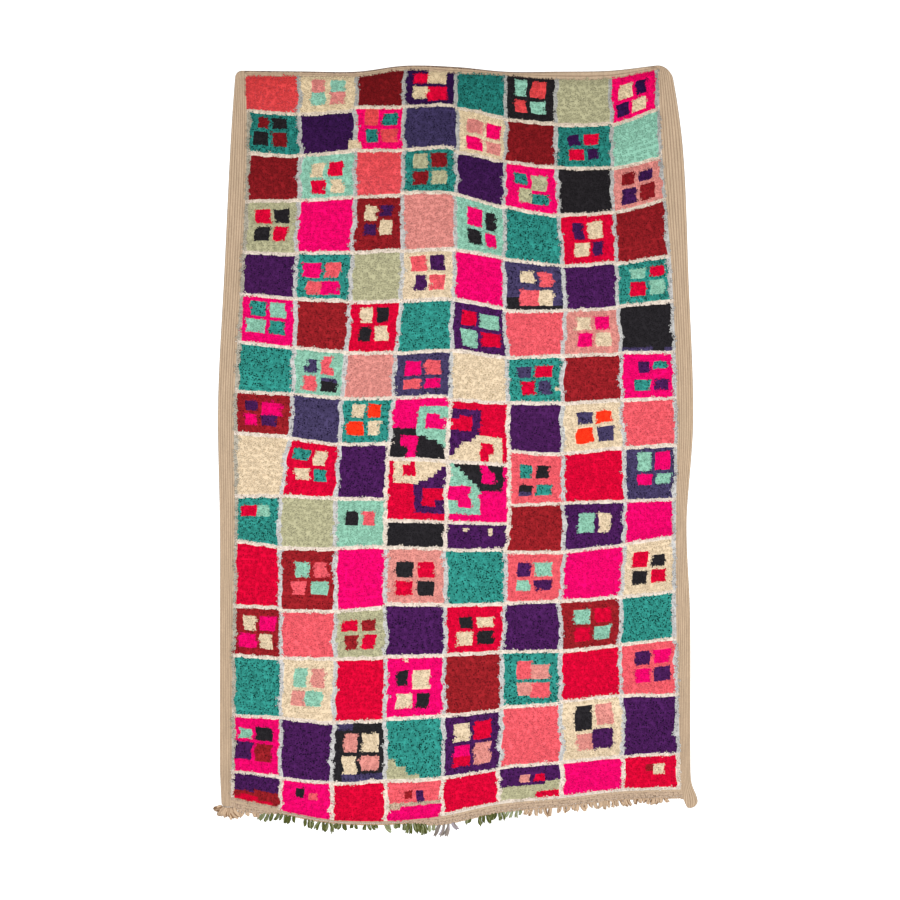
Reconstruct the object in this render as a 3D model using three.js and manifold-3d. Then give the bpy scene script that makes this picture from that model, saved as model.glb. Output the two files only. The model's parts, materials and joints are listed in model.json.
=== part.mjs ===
// A hand-knotted wool rug of coloured squares, lying face up, with the fringe at its lower end.
// Millimetres. +X runs across the rug, +Y towards its hemmed end, +Z up; its back is flat at z = 0.
import * as THREE from 'three';
import Module from 'manifold-3d';
import { mergeVertices } from 'three/addons/utils/BufferGeometryUtils.js';

const wasm = await Module();
wasm.setup();

// Thicknesses and reliefs
const GROUND_THICK = 5;
const PILE_HEIGHT = 13;
const PILE_LUMP = 2;
const SQUARE_VALLEY = 2;
const RIM_THICK = 3.6;
const RIB_HEIGHT = 1.6;
const HEM_ROLL = 1.8;

// Counts and steps of the relief
const BAND_RIBS = 5;
const BAND_SHARE = 0.86;
const BAND_LEVELS = 0.45;
const STEPS_PER_SQUARE = 4;
const STEPS_PER_ROW = 5;
const HEM_STEPS = [0.3, 0.6];
const END_STEPS = [0.45, 0.72];
const PILE_SHOULDER = 7;
const PILE_SHOULDER_ACROSS = 0.04;
const RIM_JAG = 3;
const RIM_JAG_OF_STRIP = 0.3;

// The woven strip between the pile and the fringe, narrow where the pile hangs over it
const END_STRIP = 22;
const END_STRIP_HIDDEN = 6;
const HIDDEN_FROM = 2.0;
const HIDDEN_TO = 4.4;
const HIDDEN_FADE = 0.6;

// Rounding of the cloth's corners: upper left, upper right, lower left, lower right
const CORNERS = [
  { side: 'left', end: 'top', radius: 20 },
  { side: 'right', end: 'top', radius: 42 },
  { side: 'left', end: 'bottom', radius: 12 },
  { side: 'right', end: 'bottom', radius: 24 },
];

// The lines that run the length of the rug, by name, from its left edge to its right edge
const LINES = [
  'outer_left', 'pile_left', 'first', 'second', 'third', 'fourth',
  'fifth', 'sixth', 'seventh', 'pile_right', 'outer_right',
];

// Reads rows of numbers as records: the depth below the hem, then one value for each line
function byLine(rows) {
  return rows.map(([down, ...values]) => ({
    down,
    ...Object.fromEntries(LINES.map((line, n) => [line, values[n]])),
  }));
}

// Where each line lies across the rug, at ten depths below the hem
const SECTIONS = byLine([
  [0, -702, -669, -499, -314, -160, 3, 163, 323, 496, 646, 691],
  [285, -720, -666, -496, -317, -166, 6, 160, 323, 502, 662, 730],
  [670, -738, -683, -509, -330, -170, -3, 157, 349, 518, 694, 747],
  [1117, -758, -706, -522, -365, -205, -19, 170, 342, 536, 710, 762],
  [1453, -752, -704, -562, -381, -224, -29, 170, 346, 542, 706, 741],
  [1789, -752, -710, -555, -382, -222, -32, 154, 336, 528, 707, 752],
  [2240, -752, -714, -558, -394, -222, -40, 142, 342, 538, 719, 753],
  [2295, -750, -715, -558, -394, -222, -40, 142, 342, 538, 720, 757],
  [2340, -748, -716, -558, -394, -222, -40, 142, 342, 538, 721, 775],
  [2370, -746, -716, -558, -394, -222, -40, 142, 342, 538, 722, 776],
]);

// How far the cloth sags below a straight row, on each line, at nine depths
const SAGS = byLine([
  [0, 0, 0, 2, 3, -16, -12, 3, 3, 0, -17, -17],
  [17, 2, 2, 2, 5, -17, -7, 0, 12, 10, -19, -19],
  [143, -13, -13, -2, -13, -18, -23, 11, 32, 25, -30, -30],
  [424, -5, -5, -8, -17, -24, -27, 14, 38, 24, -13, -13],
  [903, -34, -34, -13, 2, 1, -6, 17, 11, 4, -3, -3],
  [1200, -42, -42, -29, -7, -6, 0, 16, 25, 8, -3, -3],
  [1373, -14, -14, -11, -4, -2, 6, 13, 7, 3, -3, -3],
  [1864, 6, 6, 17, 19, 14, 8, -3, -6, -26, -48, -48],
  [2348, -16, -16, 17, 47, 51, 35, -3, -22, -44, -50, -12],
]);

// Depth of each cross line: the pile's start, the line under each row of squares, and its end
const ROW_LINES = [
  17, 143, 280, 424, 594, 745, 903, 1050, 1200, 1373, 1525, 1704, 1864, 2046, 2238, 2348,
];
const PILE_START = ROW_LINES[0];
const PILE_END = ROW_LINES.at(-1);

// The fringe: its braided strip and its locks
const FRINGE_GAP = 0.35;
const BRAID_WIDE = 8;
const BRAID_HIGH = 6;
const BRAID_BEVEL = 1.5;
const BRAID_TO = 9.1;
const LOCK_ROOT = { wide: 7, high: 5.6 };
const LOCK_BELLY = { wide: 8.5, high: 5.4 };
const LOCK_TIP = { wide: 4, high: 2.6 };
const LOCK_CROWN = 0.55;
const LOCK_BELLY_AT = 0.55;
const LOCK_CURL = 0.12;
const ROOT_CLEAR = 1;
const LOCK_UNEVEN = 0.3;

// Groups of locks along the braid: where they start and end, how many, their length, girth and lean
const TUFTS = [
  { from: -742, to: -712, locks: 3, length: 40, girth: 1.7, lean: -28, splay: 42 },
  { from: -690, to: -660, locks: 3, length: 15, girth: 1, lean: -10, splay: 12 },
  { from: -648, to: -626, locks: 2, length: 13, girth: 1, lean: 0, splay: 14 },
  { from: -612, to: -578, locks: 3, length: 27, girth: 1, lean: -24, splay: 14 },
  { from: -570, to: -510, locks: 5, length: 22, girth: 1.1, lean: -8, splay: 5 },
  { from: -482, to: -452, locks: 3, length: 22, girth: 1, lean: 5, splay: 14 },
  { from: -438, to: -392, locks: 4, length: 23, girth: 1, lean: 0, splay: 20 },
  { from: -384, to: -350, locks: 3, length: 16, girth: 1.1, lean: -5, splay: 8 },
  { from: -334, to: -314, locks: 2, length: 12, girth: 1, lean: 0, splay: 16 },
  { from: -292, to: -250, locks: 4, length: 14, girth: 1, lean: 8, splay: 8 },
  { from: -228, to: -208, locks: 2, length: 22, girth: 0.8, lean: 24, splay: 8 },
  { from: -196, to: -176, locks: 2, length: 10, girth: 1, lean: 0, splay: 16 },
  { from: -168, to: -92, locks: 7, length: 26, girth: 1, lean: 12, splay: 2 },
  { from: -86, to: -64, locks: 2, length: 15, girth: 1.1, lean: 10, splay: 12 },
  { from: -56, to: 0, locks: 4, length: 30, girth: 1, lean: 4, splay: 12 },
  { from: 36, to: 54, locks: 2, length: 14, girth: 0.9, lean: -24, splay: 12 },
  { from: 76, to: 108, locks: 3, length: 20, girth: 1, lean: 0, splay: 20 },
  { from: 116, to: 156, locks: 4, length: 24, girth: 1, lean: 0, splay: 20 },
  { from: 164, to: 216, locks: 4, length: 16, girth: 1, lean: -6, splay: 6 },
  { from: 224, to: 312, locks: 6, length: 19, girth: 1.2, lean: -14, splay: 4 },
  { from: 330, to: 452, locks: 9, length: 15, girth: 1.2, lean: 4, splay: 3 },
  { from: 460, to: 560, locks: 8, length: 18, girth: 1.1, lean: 8, splay: 3 },
  { from: 572, to: 682, locks: 8, length: 13, girth: 1.3, lean: -4, splay: 4 },
];

const RADIANS = Math.PI / 180;

// A repeatable uneven value from 0 to 1 for a pair of counts
function uneven(i, j) {
  const n = Math.sin(i * 12.9898 + j * 78.233) * 43758.5453;
  return n - Math.floor(n);
}

// A smooth curve through the values at rising stations
function curve(stations, values, at) {
  const last = stations.length - 1;
  const x = Math.min(Math.max(at, stations[0]), stations[last]);
  let k = 0;
  while (k < last - 1 && x > stations[k + 1]) k += 1;
  const slope = (n) => {
    const a = Math.max(n - 1, 0);
    const b = Math.min(n + 1, last);
    return (values[b] - values[a]) / (stations[b] - stations[a]);
  };
  const span = stations[k + 1] - stations[k];
  const t = (x - stations[k]) / span;
  const rise = values[k + 1] - values[k];
  const leaving = (slope(k) * span - rise) * (1 - t);
  const arriving = (slope(k + 1) * span - rise) * t;
  return values[k] + rise * t + t * (1 - t) * (leaving - arriving);
}

// The value of a table at a place across the rug (0 at its left edge, 10 at its right) and a depth
function lineValue(table, line, down) {
  return curve(table.map((row) => row.down), table.map((row) => row[line]), down);
}

function acrossRug(across, down) {
  const k = Math.min(Math.floor(across), LINES.length - 2);
  const left = lineValue(SECTIONS, LINES[k], down);
  const right = lineValue(SECTIONS, LINES[k + 1], down);
  return THREE.MathUtils.lerp(left, right, across - k);
}

// The sag follows a smooth curve over the pile and levels off across each side band
function sagOf(across, down) {
  const pile = LINES.slice(1, -1);
  const overPile = curve(pile.map((_, n) => n + 1), pile.map((line) => lineValue(SAGS, line, down)), across);
  const outer = across < 5 ? LINES[0] : LINES.at(-1);
  const intoBand = Math.max(1 - across, across - pile.length);
  const share = THREE.MathUtils.smoothstep(intoBand, 0, BAND_LEVELS);
  return THREE.MathUtils.lerp(overPile, lineValue(SAGS, outer, down), share);
}

function endStrip(across) {
  const hidden = THREE.MathUtils.smoothstep(across, HIDDEN_FROM - HIDDEN_FADE, HIDDEN_FROM)
    - THREE.MathUtils.smoothstep(across, HIDDEN_TO, HIDDEN_TO + HIDDEN_FADE);
  return THREE.MathUtils.lerp(END_STRIP, END_STRIP_HIDDEN, hidden);
}

// The cloth's two ends at a place across the rug
function topEdge(across) {
  return -sagOf(across, 0);
}

function bottomEdge(across) {
  return -PILE_END - sagOf(across, PILE_END) - endStrip(across);
}

// How far a rounded corner draws in, at a distance from the other edge
function drawnIn(radius, distance) {
  const onArc = THREE.MathUtils.lerp((1 - Math.SQRT1_2) * radius, radius, distance / radius);
  return radius - Math.sqrt(radius ** 2 - (radius - onArc) ** 2);
}

// A point of the cloth in plan: across it, and either down the pile or along the end strip
function clothPoint(across, down, alongStrip = 0) {
  let x = acrossRug(across, down + alongStrip * END_STRIP);
  let y = -down - sagOf(across, down) - alongStrip * endStrip(across);
  for (const { side, end, radius } of CORNERS) {
    const outer = acrossRug(side === 'left' ? 0 : LINES.length - 1, down + alongStrip * END_STRIP);
    const fromSide = Math.abs(x - outer);
    const fromEnd = end === 'top' ? topEdge(across) - y : y - bottomEdge(across);
    if (fromSide < radius && fromEnd < radius) {
      const inwards = side === 'left' ? 1 : -1;
      const along = end === 'top' ? -1 : 1;
      x += inwards * drawnIn(radius, fromEnd) * (1 - fromSide / radius);
      y += along * drawnIn(radius, fromSide) * (1 - fromEnd / radius);
      break;
    }
  }
  return { x, y };
}

// The lengthwise stations of the mesh: the ribs of both side bands, the pile's foot and its squares
function acrossStations() {
  const pileFrom = 1;
  const pileTo = LINES.length - 2;
  const ribSteps = 2 * BAND_RIBS;
  const stations = [];
  for (let n = 0; n <= ribSteps; n += 1) {
    stations.push({ across: (BAND_SHARE * n) / ribSteps, kind: 'band', crest: n % 2 });
  }
  stations.push({ across: pileFrom, kind: 'foot' });
  stations.push({ across: pileFrom + PILE_SHOULDER_ACROSS, kind: 'shoulder' });
  for (let n = 1; n < (pileTo - pileFrom) * STEPS_PER_SQUARE; n += 1) {
    stations.push({ across: pileFrom + n / STEPS_PER_SQUARE, kind: n % STEPS_PER_SQUARE ? 'pile' : 'line' });
  }
  stations.push({ across: pileTo - PILE_SHOULDER_ACROSS, kind: 'shoulder' });
  stations.push({ across: pileTo, kind: 'foot' });
  for (let n = ribSteps; n >= 0; n -= 1) {
    stations.push({ across: LINES.length - 1 - (BAND_SHARE * n) / ribSteps, kind: 'band', crest: n % 2 });
  }
  return stations;
}

// The crosswise stations: the hem, the pile's rows of squares, and the strip at the lower end
function downStations() {
  const rows = [
    { down: 0, kind: 'hem', roll: 0 },
    { down: PILE_START * HEM_STEPS[0], kind: 'hem', roll: 1 },
    { down: PILE_START * HEM_STEPS[1], kind: 'hem', roll: 0 },
    { down: PILE_START, kind: 'foot' },
    { down: PILE_START + PILE_SHOULDER, kind: 'shoulder' },
  ];
  for (let r = 1; r < ROW_LINES.length; r += 1) {
    for (let n = 1; n <= STEPS_PER_ROW; n += 1) {
      const down = THREE.MathUtils.lerp(ROW_LINES[r - 1], ROW_LINES[r], n / STEPS_PER_ROW);
      if (down < PILE_END) rows.push({ down, kind: n < STEPS_PER_ROW ? 'pile' : 'line' });
    }
  }
  rows.push({ down: PILE_END - PILE_SHOULDER, kind: 'shoulder' });
  rows.push({ down: PILE_END, kind: 'foot' });
  rows.push({ down: PILE_END, kind: 'hem', roll: 0, alongStrip: END_STEPS[0] });
  rows.push({ down: PILE_END, kind: 'hem', roll: 1, alongStrip: END_STEPS[1] });
  rows.push({ down: PILE_END, kind: 'hem', roll: 0, alongStrip: 1 });
  return rows;
}

function isPile(station, row) {
  return station.kind !== 'band' && row.kind !== 'hem';
}

// The height of the face: ribs on the bands, a roll on the hem, and lumpy pile on the squares
function faceHeight(station, row, i, j, onRim) {
  if (onRim) return RIM_THICK;
  if (station.kind === 'band') return GROUND_THICK - RIB_HEIGHT / 2 + RIB_HEIGHT * station.crest;
  if (row.kind === 'hem') return GROUND_THICK - HEM_ROLL / 2 + HEM_ROLL * row.roll;
  if (station.kind === 'foot' || row.kind === 'foot') return GROUND_THICK;
  const valley = (station.kind === 'line' || row.kind === 'line') ? SQUARE_VALLEY : 0;
  return GROUND_THICK + PILE_HEIGHT - valley + PILE_LUMP * (2 * uneven(i, j) - 1);
}

// The pile's rim wavers in and out, as its outermost locks do
function rimJag(station, row, i, j) {
  const atCorner = station.kind === 'foot' && row.kind === 'foot';
  if (atCorner || !isPile(station, row)) return { x: 0, y: 0 };
  const atSide = ['foot', 'shoulder'].includes(station.kind);
  const atEnd = ['foot', 'shoulder'].includes(row.kind);
  const endJag = Math.min(RIM_JAG, RIM_JAG_OF_STRIP * endStrip(station.across));
  return {
    x: atSide ? RIM_JAG * (2 * uneven(3, j) - 1) : 0,
    y: atEnd ? endJag * (2 * uneven(i, 5) - 1) : 0,
  };
}

// The cloth as one closed solid: its uneven face, a thin rim and a flat back
function clothGeometry() {
  const stations = acrossStations();
  const rows = downStations();
  const wide = stations.length;
  const long = rows.length;
  const points = [];
  const triangles = [];
  const at = (i, j) => j * wide + i;
  rows.forEach((row, j) => {
    stations.forEach((station, i) => {
      const onRim = i === 0 || j === 0 || i === wide - 1 || j === long - 1;
      const plan = clothPoint(station.across, row.down, row.alongStrip);
      const jag = rimJag(station, row, i, j);
      points.push([plan.x + jag.x, plan.y + jag.y, faceHeight(station, row, i, j, onRim)]);
    });
  });
  for (let j = 0; j < long - 1; j += 1) {
    for (let i = 0; i < wide - 1; i += 1) {
      triangles.push([at(i, j), at(i, j + 1), at(i + 1, j + 1)]);
      triangles.push([at(i, j), at(i + 1, j + 1), at(i + 1, j)]);
    }
  }
  const rim = [];
  for (let j = 0; j < long - 1; j += 1) rim.push(at(0, j));
  for (let i = 0; i < wide - 1; i += 1) rim.push(at(i, long - 1));
  for (let j = long - 1; j > 0; j -= 1) rim.push(at(wide - 1, j));
  for (let i = wide - 1; i > 0; i -= 1) rim.push(at(i, 0));
  const firstUnder = points.length;
  rim.forEach((top) => points.push([points[top][0], points[top][1], 0]));
  rim.forEach((top, n) => {
    const next = (n + 1) % rim.length;
    triangles.push([firstUnder + n, firstUnder + next, rim[next]]);
    triangles.push([firstUnder + n, rim[next], top]);
  });
  const outline = rim.map((top) => new THREE.Vector2(points[top][0], points[top][1]));
  for (const [a, b, c] of THREE.ShapeUtils.triangulateShape(outline, [])) {
    triangles.push([firstUnder + a, firstUnder + c, firstUnder + b]);
  }
  return meshOf(points, triangles);
}

function meshOf(points, triangles) {
  const geometry = new THREE.BufferGeometry();
  geometry.setAttribute('position', new THREE.Float32BufferAttribute(points.flat(), 3));
  geometry.setIndex(triangles.flat());
  return geometry;
}

// A closed bar through sections of four corners each
function barGeometry(sections) {
  const points = sections.flat();
  const triangles = [];
  for (let k = 0; k < sections.length - 1; k += 1) {
    for (let n = 0; n < 4; n += 1) {
      const a = 4 * k + n;
      const b = 4 * k + ((n + 1) % 4);
      triangles.push([a, b, b + 4]);
      triangles.push([a, b + 4, a + 4]);
    }
  }
  const end = 4 * (sections.length - 1);
  triangles.push([0, 2, 1], [0, 3, 2]);
  triangles.push([end, end + 1, end + 2], [end, end + 2, end + 3]);
  return meshOf(points, triangles);
}

// The braided strip, a little clear of the cloth's lower edge and following each of its steps
function braidGeometry() {
  const inset = BRAID_BEVEL;
  return barGeometry(acrossStations().filter(({ across }) => across <= BRAID_TO).map(({ across }) => {
    const edge = clothPoint(across, PILE_END, 1);
    const back = edge.y - FRINGE_GAP;
    const front = back - BRAID_WIDE;
    return [
      [edge.x, back, 0],
      [edge.x, back - inset, BRAID_HIGH],
      [edge.x, front + inset, BRAID_HIGH],
      [edge.x, front, 0],
    ];
  }));
}

// One lock of the fringe, lying on the floor from its root in the braid to its tip
function lockGeometry(root, angle, length, girth) {
  const ahead = new THREE.Vector2(Math.sin(angle), -Math.cos(angle));
  const aside = new THREE.Vector2(-ahead.y, ahead.x);
  const curl = LOCK_CURL * length * Math.sign(angle || 1);
  const stretch = [
    { along: 0, aside: 0, ...LOCK_ROOT },
    { along: LOCK_BELLY_AT, aside: curl, ...LOCK_BELLY },
    { along: 1, aside: 0, ...LOCK_TIP },
  ];
  return barGeometry(stretch.map((part) => {
    const middle = root.clone().addScaledVector(ahead, part.along * length);
    middle.addScaledVector(aside, part.aside);
    const corner = (offset, z) => {
      const p = middle.clone().addScaledVector(aside, offset);
      return [p.x, p.y, z];
    };
    const half = (girth * part.wide) / 2;
    return [
      corner(half, 0),
      corner(half * LOCK_CROWN, part.high),
      corner(-half * LOCK_CROWN, part.high),
      corner(-half, 0),
    ];
  }));
}

// The place across the rug that lies at an x on its lower edge
function acrossAt(x) {
  let low = 0;
  let high = LINES.length - 1;
  for (let n = 0; n < 30; n += 1) {
    const middle = (low + high) / 2;
    if (clothPoint(middle, PILE_END, 1).x < x) low = middle;
    else high = middle;
  }
  return low;
}

function fringeLocks() {
  const locks = [];
  TUFTS.forEach((tuft, group) => {
    for (let n = 0; n < tuft.locks; n += 1) {
      const x = THREE.MathUtils.lerp(tuft.from, tuft.to, (n + 0.5) / tuft.locks);
      const angle = (tuft.lean + tuft.splay * (n - (tuft.locks - 1) / 2)) * RADIANS;
      const rootReach = (tuft.girth * LOCK_ROOT.wide * Math.abs(Math.sin(angle))) / 2;
      const sunk = Math.max(BRAID_WIDE / 2, rootReach + ROOT_CLEAR);
      const y = clothPoint(acrossAt(x), PILE_END, 1).y - FRINGE_GAP - sunk;
      const length = BRAID_WIDE / 2 + tuft.length * (1 + LOCK_UNEVEN * (2 * uneven(group, n) - 1));
      locks.push(lockGeometry(new THREE.Vector2(x, y), angle, length, tuft.girth));
    }
  });
  return locks;
}

// Joins closed shapes into one solid
function solidOf(geometry) {
  const merged = mergeVertices(geometry, 1e-4);
  return new wasm.Manifold(new wasm.Mesh({
    numProp: 3,
    vertProperties: Float32Array.from(merged.attributes.position.array),
    triVerts: Uint32Array.from(merged.index.array),
  }));
}

function fringeGeometry() {
  let fringe = solidOf(braidGeometry());
  for (const lock of fringeLocks()) fringe = fringe.add(solidOf(lock));
  const mesh = fringe.getMesh();
  const geometry = new THREE.BufferGeometry();
  geometry.setAttribute('position', new THREE.BufferAttribute(Float32Array.from(mesh.vertProperties), 3));
  geometry.setIndex(new THREE.BufferAttribute(Uint32Array.from(mesh.triVerts), 1));
  return geometry;
}

function named(name, geometry, color, roughness) {
  const mesh = new THREE.Mesh(geometry, new THREE.MeshStandardMaterial({ color, roughness, metalness: 0 }));
  mesh.name = name;
  return mesh;
}

const rug = new THREE.Group();
rug.add(named('rug_cloth', clothGeometry(), '#b5485c', 1));
rug.add(named('end_fringe', fringeGeometry(), '#a08f70', 0.95));

// The origin is under the middle of the whole rug
const box = new THREE.Box3().setFromObject(rug);
const middle = box.getCenter(new THREE.Vector3());
rug.position.set(-middle.x, -middle.y, 0);

export default rug;
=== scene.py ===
"""A hand-knotted wool rug of coloured squares, laid flat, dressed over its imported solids."""

import json
import math

import bpy
import numpy as np
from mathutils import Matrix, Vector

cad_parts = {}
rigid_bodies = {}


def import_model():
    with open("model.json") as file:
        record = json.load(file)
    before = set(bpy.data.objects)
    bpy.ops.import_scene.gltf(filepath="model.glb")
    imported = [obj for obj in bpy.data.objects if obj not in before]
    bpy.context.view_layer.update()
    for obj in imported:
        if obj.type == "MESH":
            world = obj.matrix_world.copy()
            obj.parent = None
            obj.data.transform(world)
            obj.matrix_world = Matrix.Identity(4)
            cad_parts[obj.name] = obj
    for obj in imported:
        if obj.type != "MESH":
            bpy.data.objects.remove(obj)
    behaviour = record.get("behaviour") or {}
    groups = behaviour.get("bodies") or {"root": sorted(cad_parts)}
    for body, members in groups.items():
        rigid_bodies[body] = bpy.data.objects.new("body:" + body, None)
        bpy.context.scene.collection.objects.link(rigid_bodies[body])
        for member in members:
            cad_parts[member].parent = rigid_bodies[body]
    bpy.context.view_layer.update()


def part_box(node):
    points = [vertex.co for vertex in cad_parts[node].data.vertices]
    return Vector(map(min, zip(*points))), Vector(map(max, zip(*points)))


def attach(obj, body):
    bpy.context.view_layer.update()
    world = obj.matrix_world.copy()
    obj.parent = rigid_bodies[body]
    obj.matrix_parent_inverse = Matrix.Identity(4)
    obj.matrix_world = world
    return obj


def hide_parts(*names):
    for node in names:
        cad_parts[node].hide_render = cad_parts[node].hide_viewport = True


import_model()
scene = bpy.context.scene

# Millimetres to the metres of the shared frame
MM = 0.001

# Heights of the woven cloth, of the matted lower pile and of what stands on them, in millimetres
GROUND_THICK = 5.0
RIM_THICK = 3.6
BED_HEIGHT = 16.0
BED_LUMP = 0.6
RIB_HEIGHT = 1.6
HEM_ROLL = 1.8

# The woven side bands and the strips at the two ends
BAND_RIBS = 7
RIB_STEPS = 4
BAND_LEVELS = 0.45
HEM_STEPS = 6
STRIP_STEPS = 10
END_STRIP = 22.0
END_STRIP_HIDDEN = 6.0
HIDDEN_FROM = 2.0
HIDDEN_TO = 4.4
HIDDEN_FADE = 0.6

# How round a rib is, ridges along the hem and the lower strip, and where the seam of the hem shows
RIB_ROUNDNESS = 0.7
HEM_RIDGES = 2.0
STRIP_RIDGES = 2.5
SEAM_DOWN = 3.5
SEAM_FADES_IN = (0.8, 1.3)
SEAM_FADES_OUT = (6.0, 7.5)

# Brown marks: their place on the loom and their radius
MARKS = [(632, 12, 7.0), (-668, -2, 7.0), (-690, -2350, 6.0), (690, -1832, 4.0)]

# Rounding of the cloth's corners: side, end, radius
CORNERS = [
    ("left", "top", 20.0),
    ("right", "top", 42.0),
    ("left", "bottom", 12.0),
    ("right", "bottom", 24.0),
]

# Where each lengthwise line lies across the rug, at ten depths below the hem
SECTION_DOWN = np.array([0, 285, 670, 1117, 1453, 1789, 2240, 2295, 2340, 2370], float)
SECTIONS = np.array([
    [-702, -669, -499, -314, -160, 3, 163, 323, 496, 646, 691],
    [-720, -666, -496, -317, -166, 6, 160, 323, 502, 662, 730],
    [-738, -683, -509, -330, -170, -3, 157, 349, 518, 694, 747],
    [-758, -706, -522, -365, -205, -19, 170, 342, 536, 710, 762],
    [-752, -704, -562, -381, -224, -29, 170, 346, 542, 706, 741],
    [-752, -710, -555, -382, -222, -32, 154, 336, 528, 707, 752],
    [-752, -714, -558, -394, -222, -40, 142, 342, 538, 719, 753],
    [-750, -715, -558, -394, -222, -40, 142, 342, 538, 720, 757],
    [-748, -716, -558, -394, -222, -40, 142, 342, 538, 721, 775],
    [-746, -716, -558, -394, -222, -40, 142, 342, 538, 722, 776],
], float)

# How far the cloth sags below a straight row, on each line, at nine depths
SAG_DOWN = np.array([0, 17, 143, 424, 903, 1200, 1373, 1864, 2348], float)
SAGS = np.array([
    [0, 0, 2, 3, -16, -12, 3, 3, 0, -17, -17],
    [2, 2, 2, 5, -17, -7, 0, 12, 10, -19, -19],
    [-13, -13, -2, -13, -18, -23, 11, 32, 25, -30, -30],
    [-5, -5, -8, -17, -24, -27, 14, 38, 24, -13, -13],
    [-34, -34, -13, 2, 1, -6, 17, 11, 4, -3, -3],
    [-42, -42, -29, -7, -6, 0, 16, 25, 8, -3, -3],
    [-14, -14, -11, -4, -2, 6, 13, 7, 3, -3, -3],
    [6, 6, 17, 19, 14, 8, -3, -6, -26, -48, -48],
    [-16, -16, 17, 47, 51, 35, -3, -22, -44, -50, -12],
], float)

# Depth of each cross line: the pile's start, the line under each row of squares, and its end
ROW_LINES = np.array(
    [17, 143, 280, 424, 594, 745, 903, 1050, 1200, 1373, 1525, 1704, 1864, 2046, 2238, 2348], float
)
PILE_START = ROW_LINES[0]
PILE_END = ROW_LINES[-1]
LAST_LINE = SECTIONS.shape[1] - 1

# Knots in each column and each row of squares, its line of knots among them
KNOTS_ACROSS = [14, 12, 12, 14, 14, 13, 15, 14]
KNOTS_DOWN = [11, 12, 13, 15, 13, 14, 13, 13, 15, 14, 15, 14, 16, 17, 10]

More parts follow.
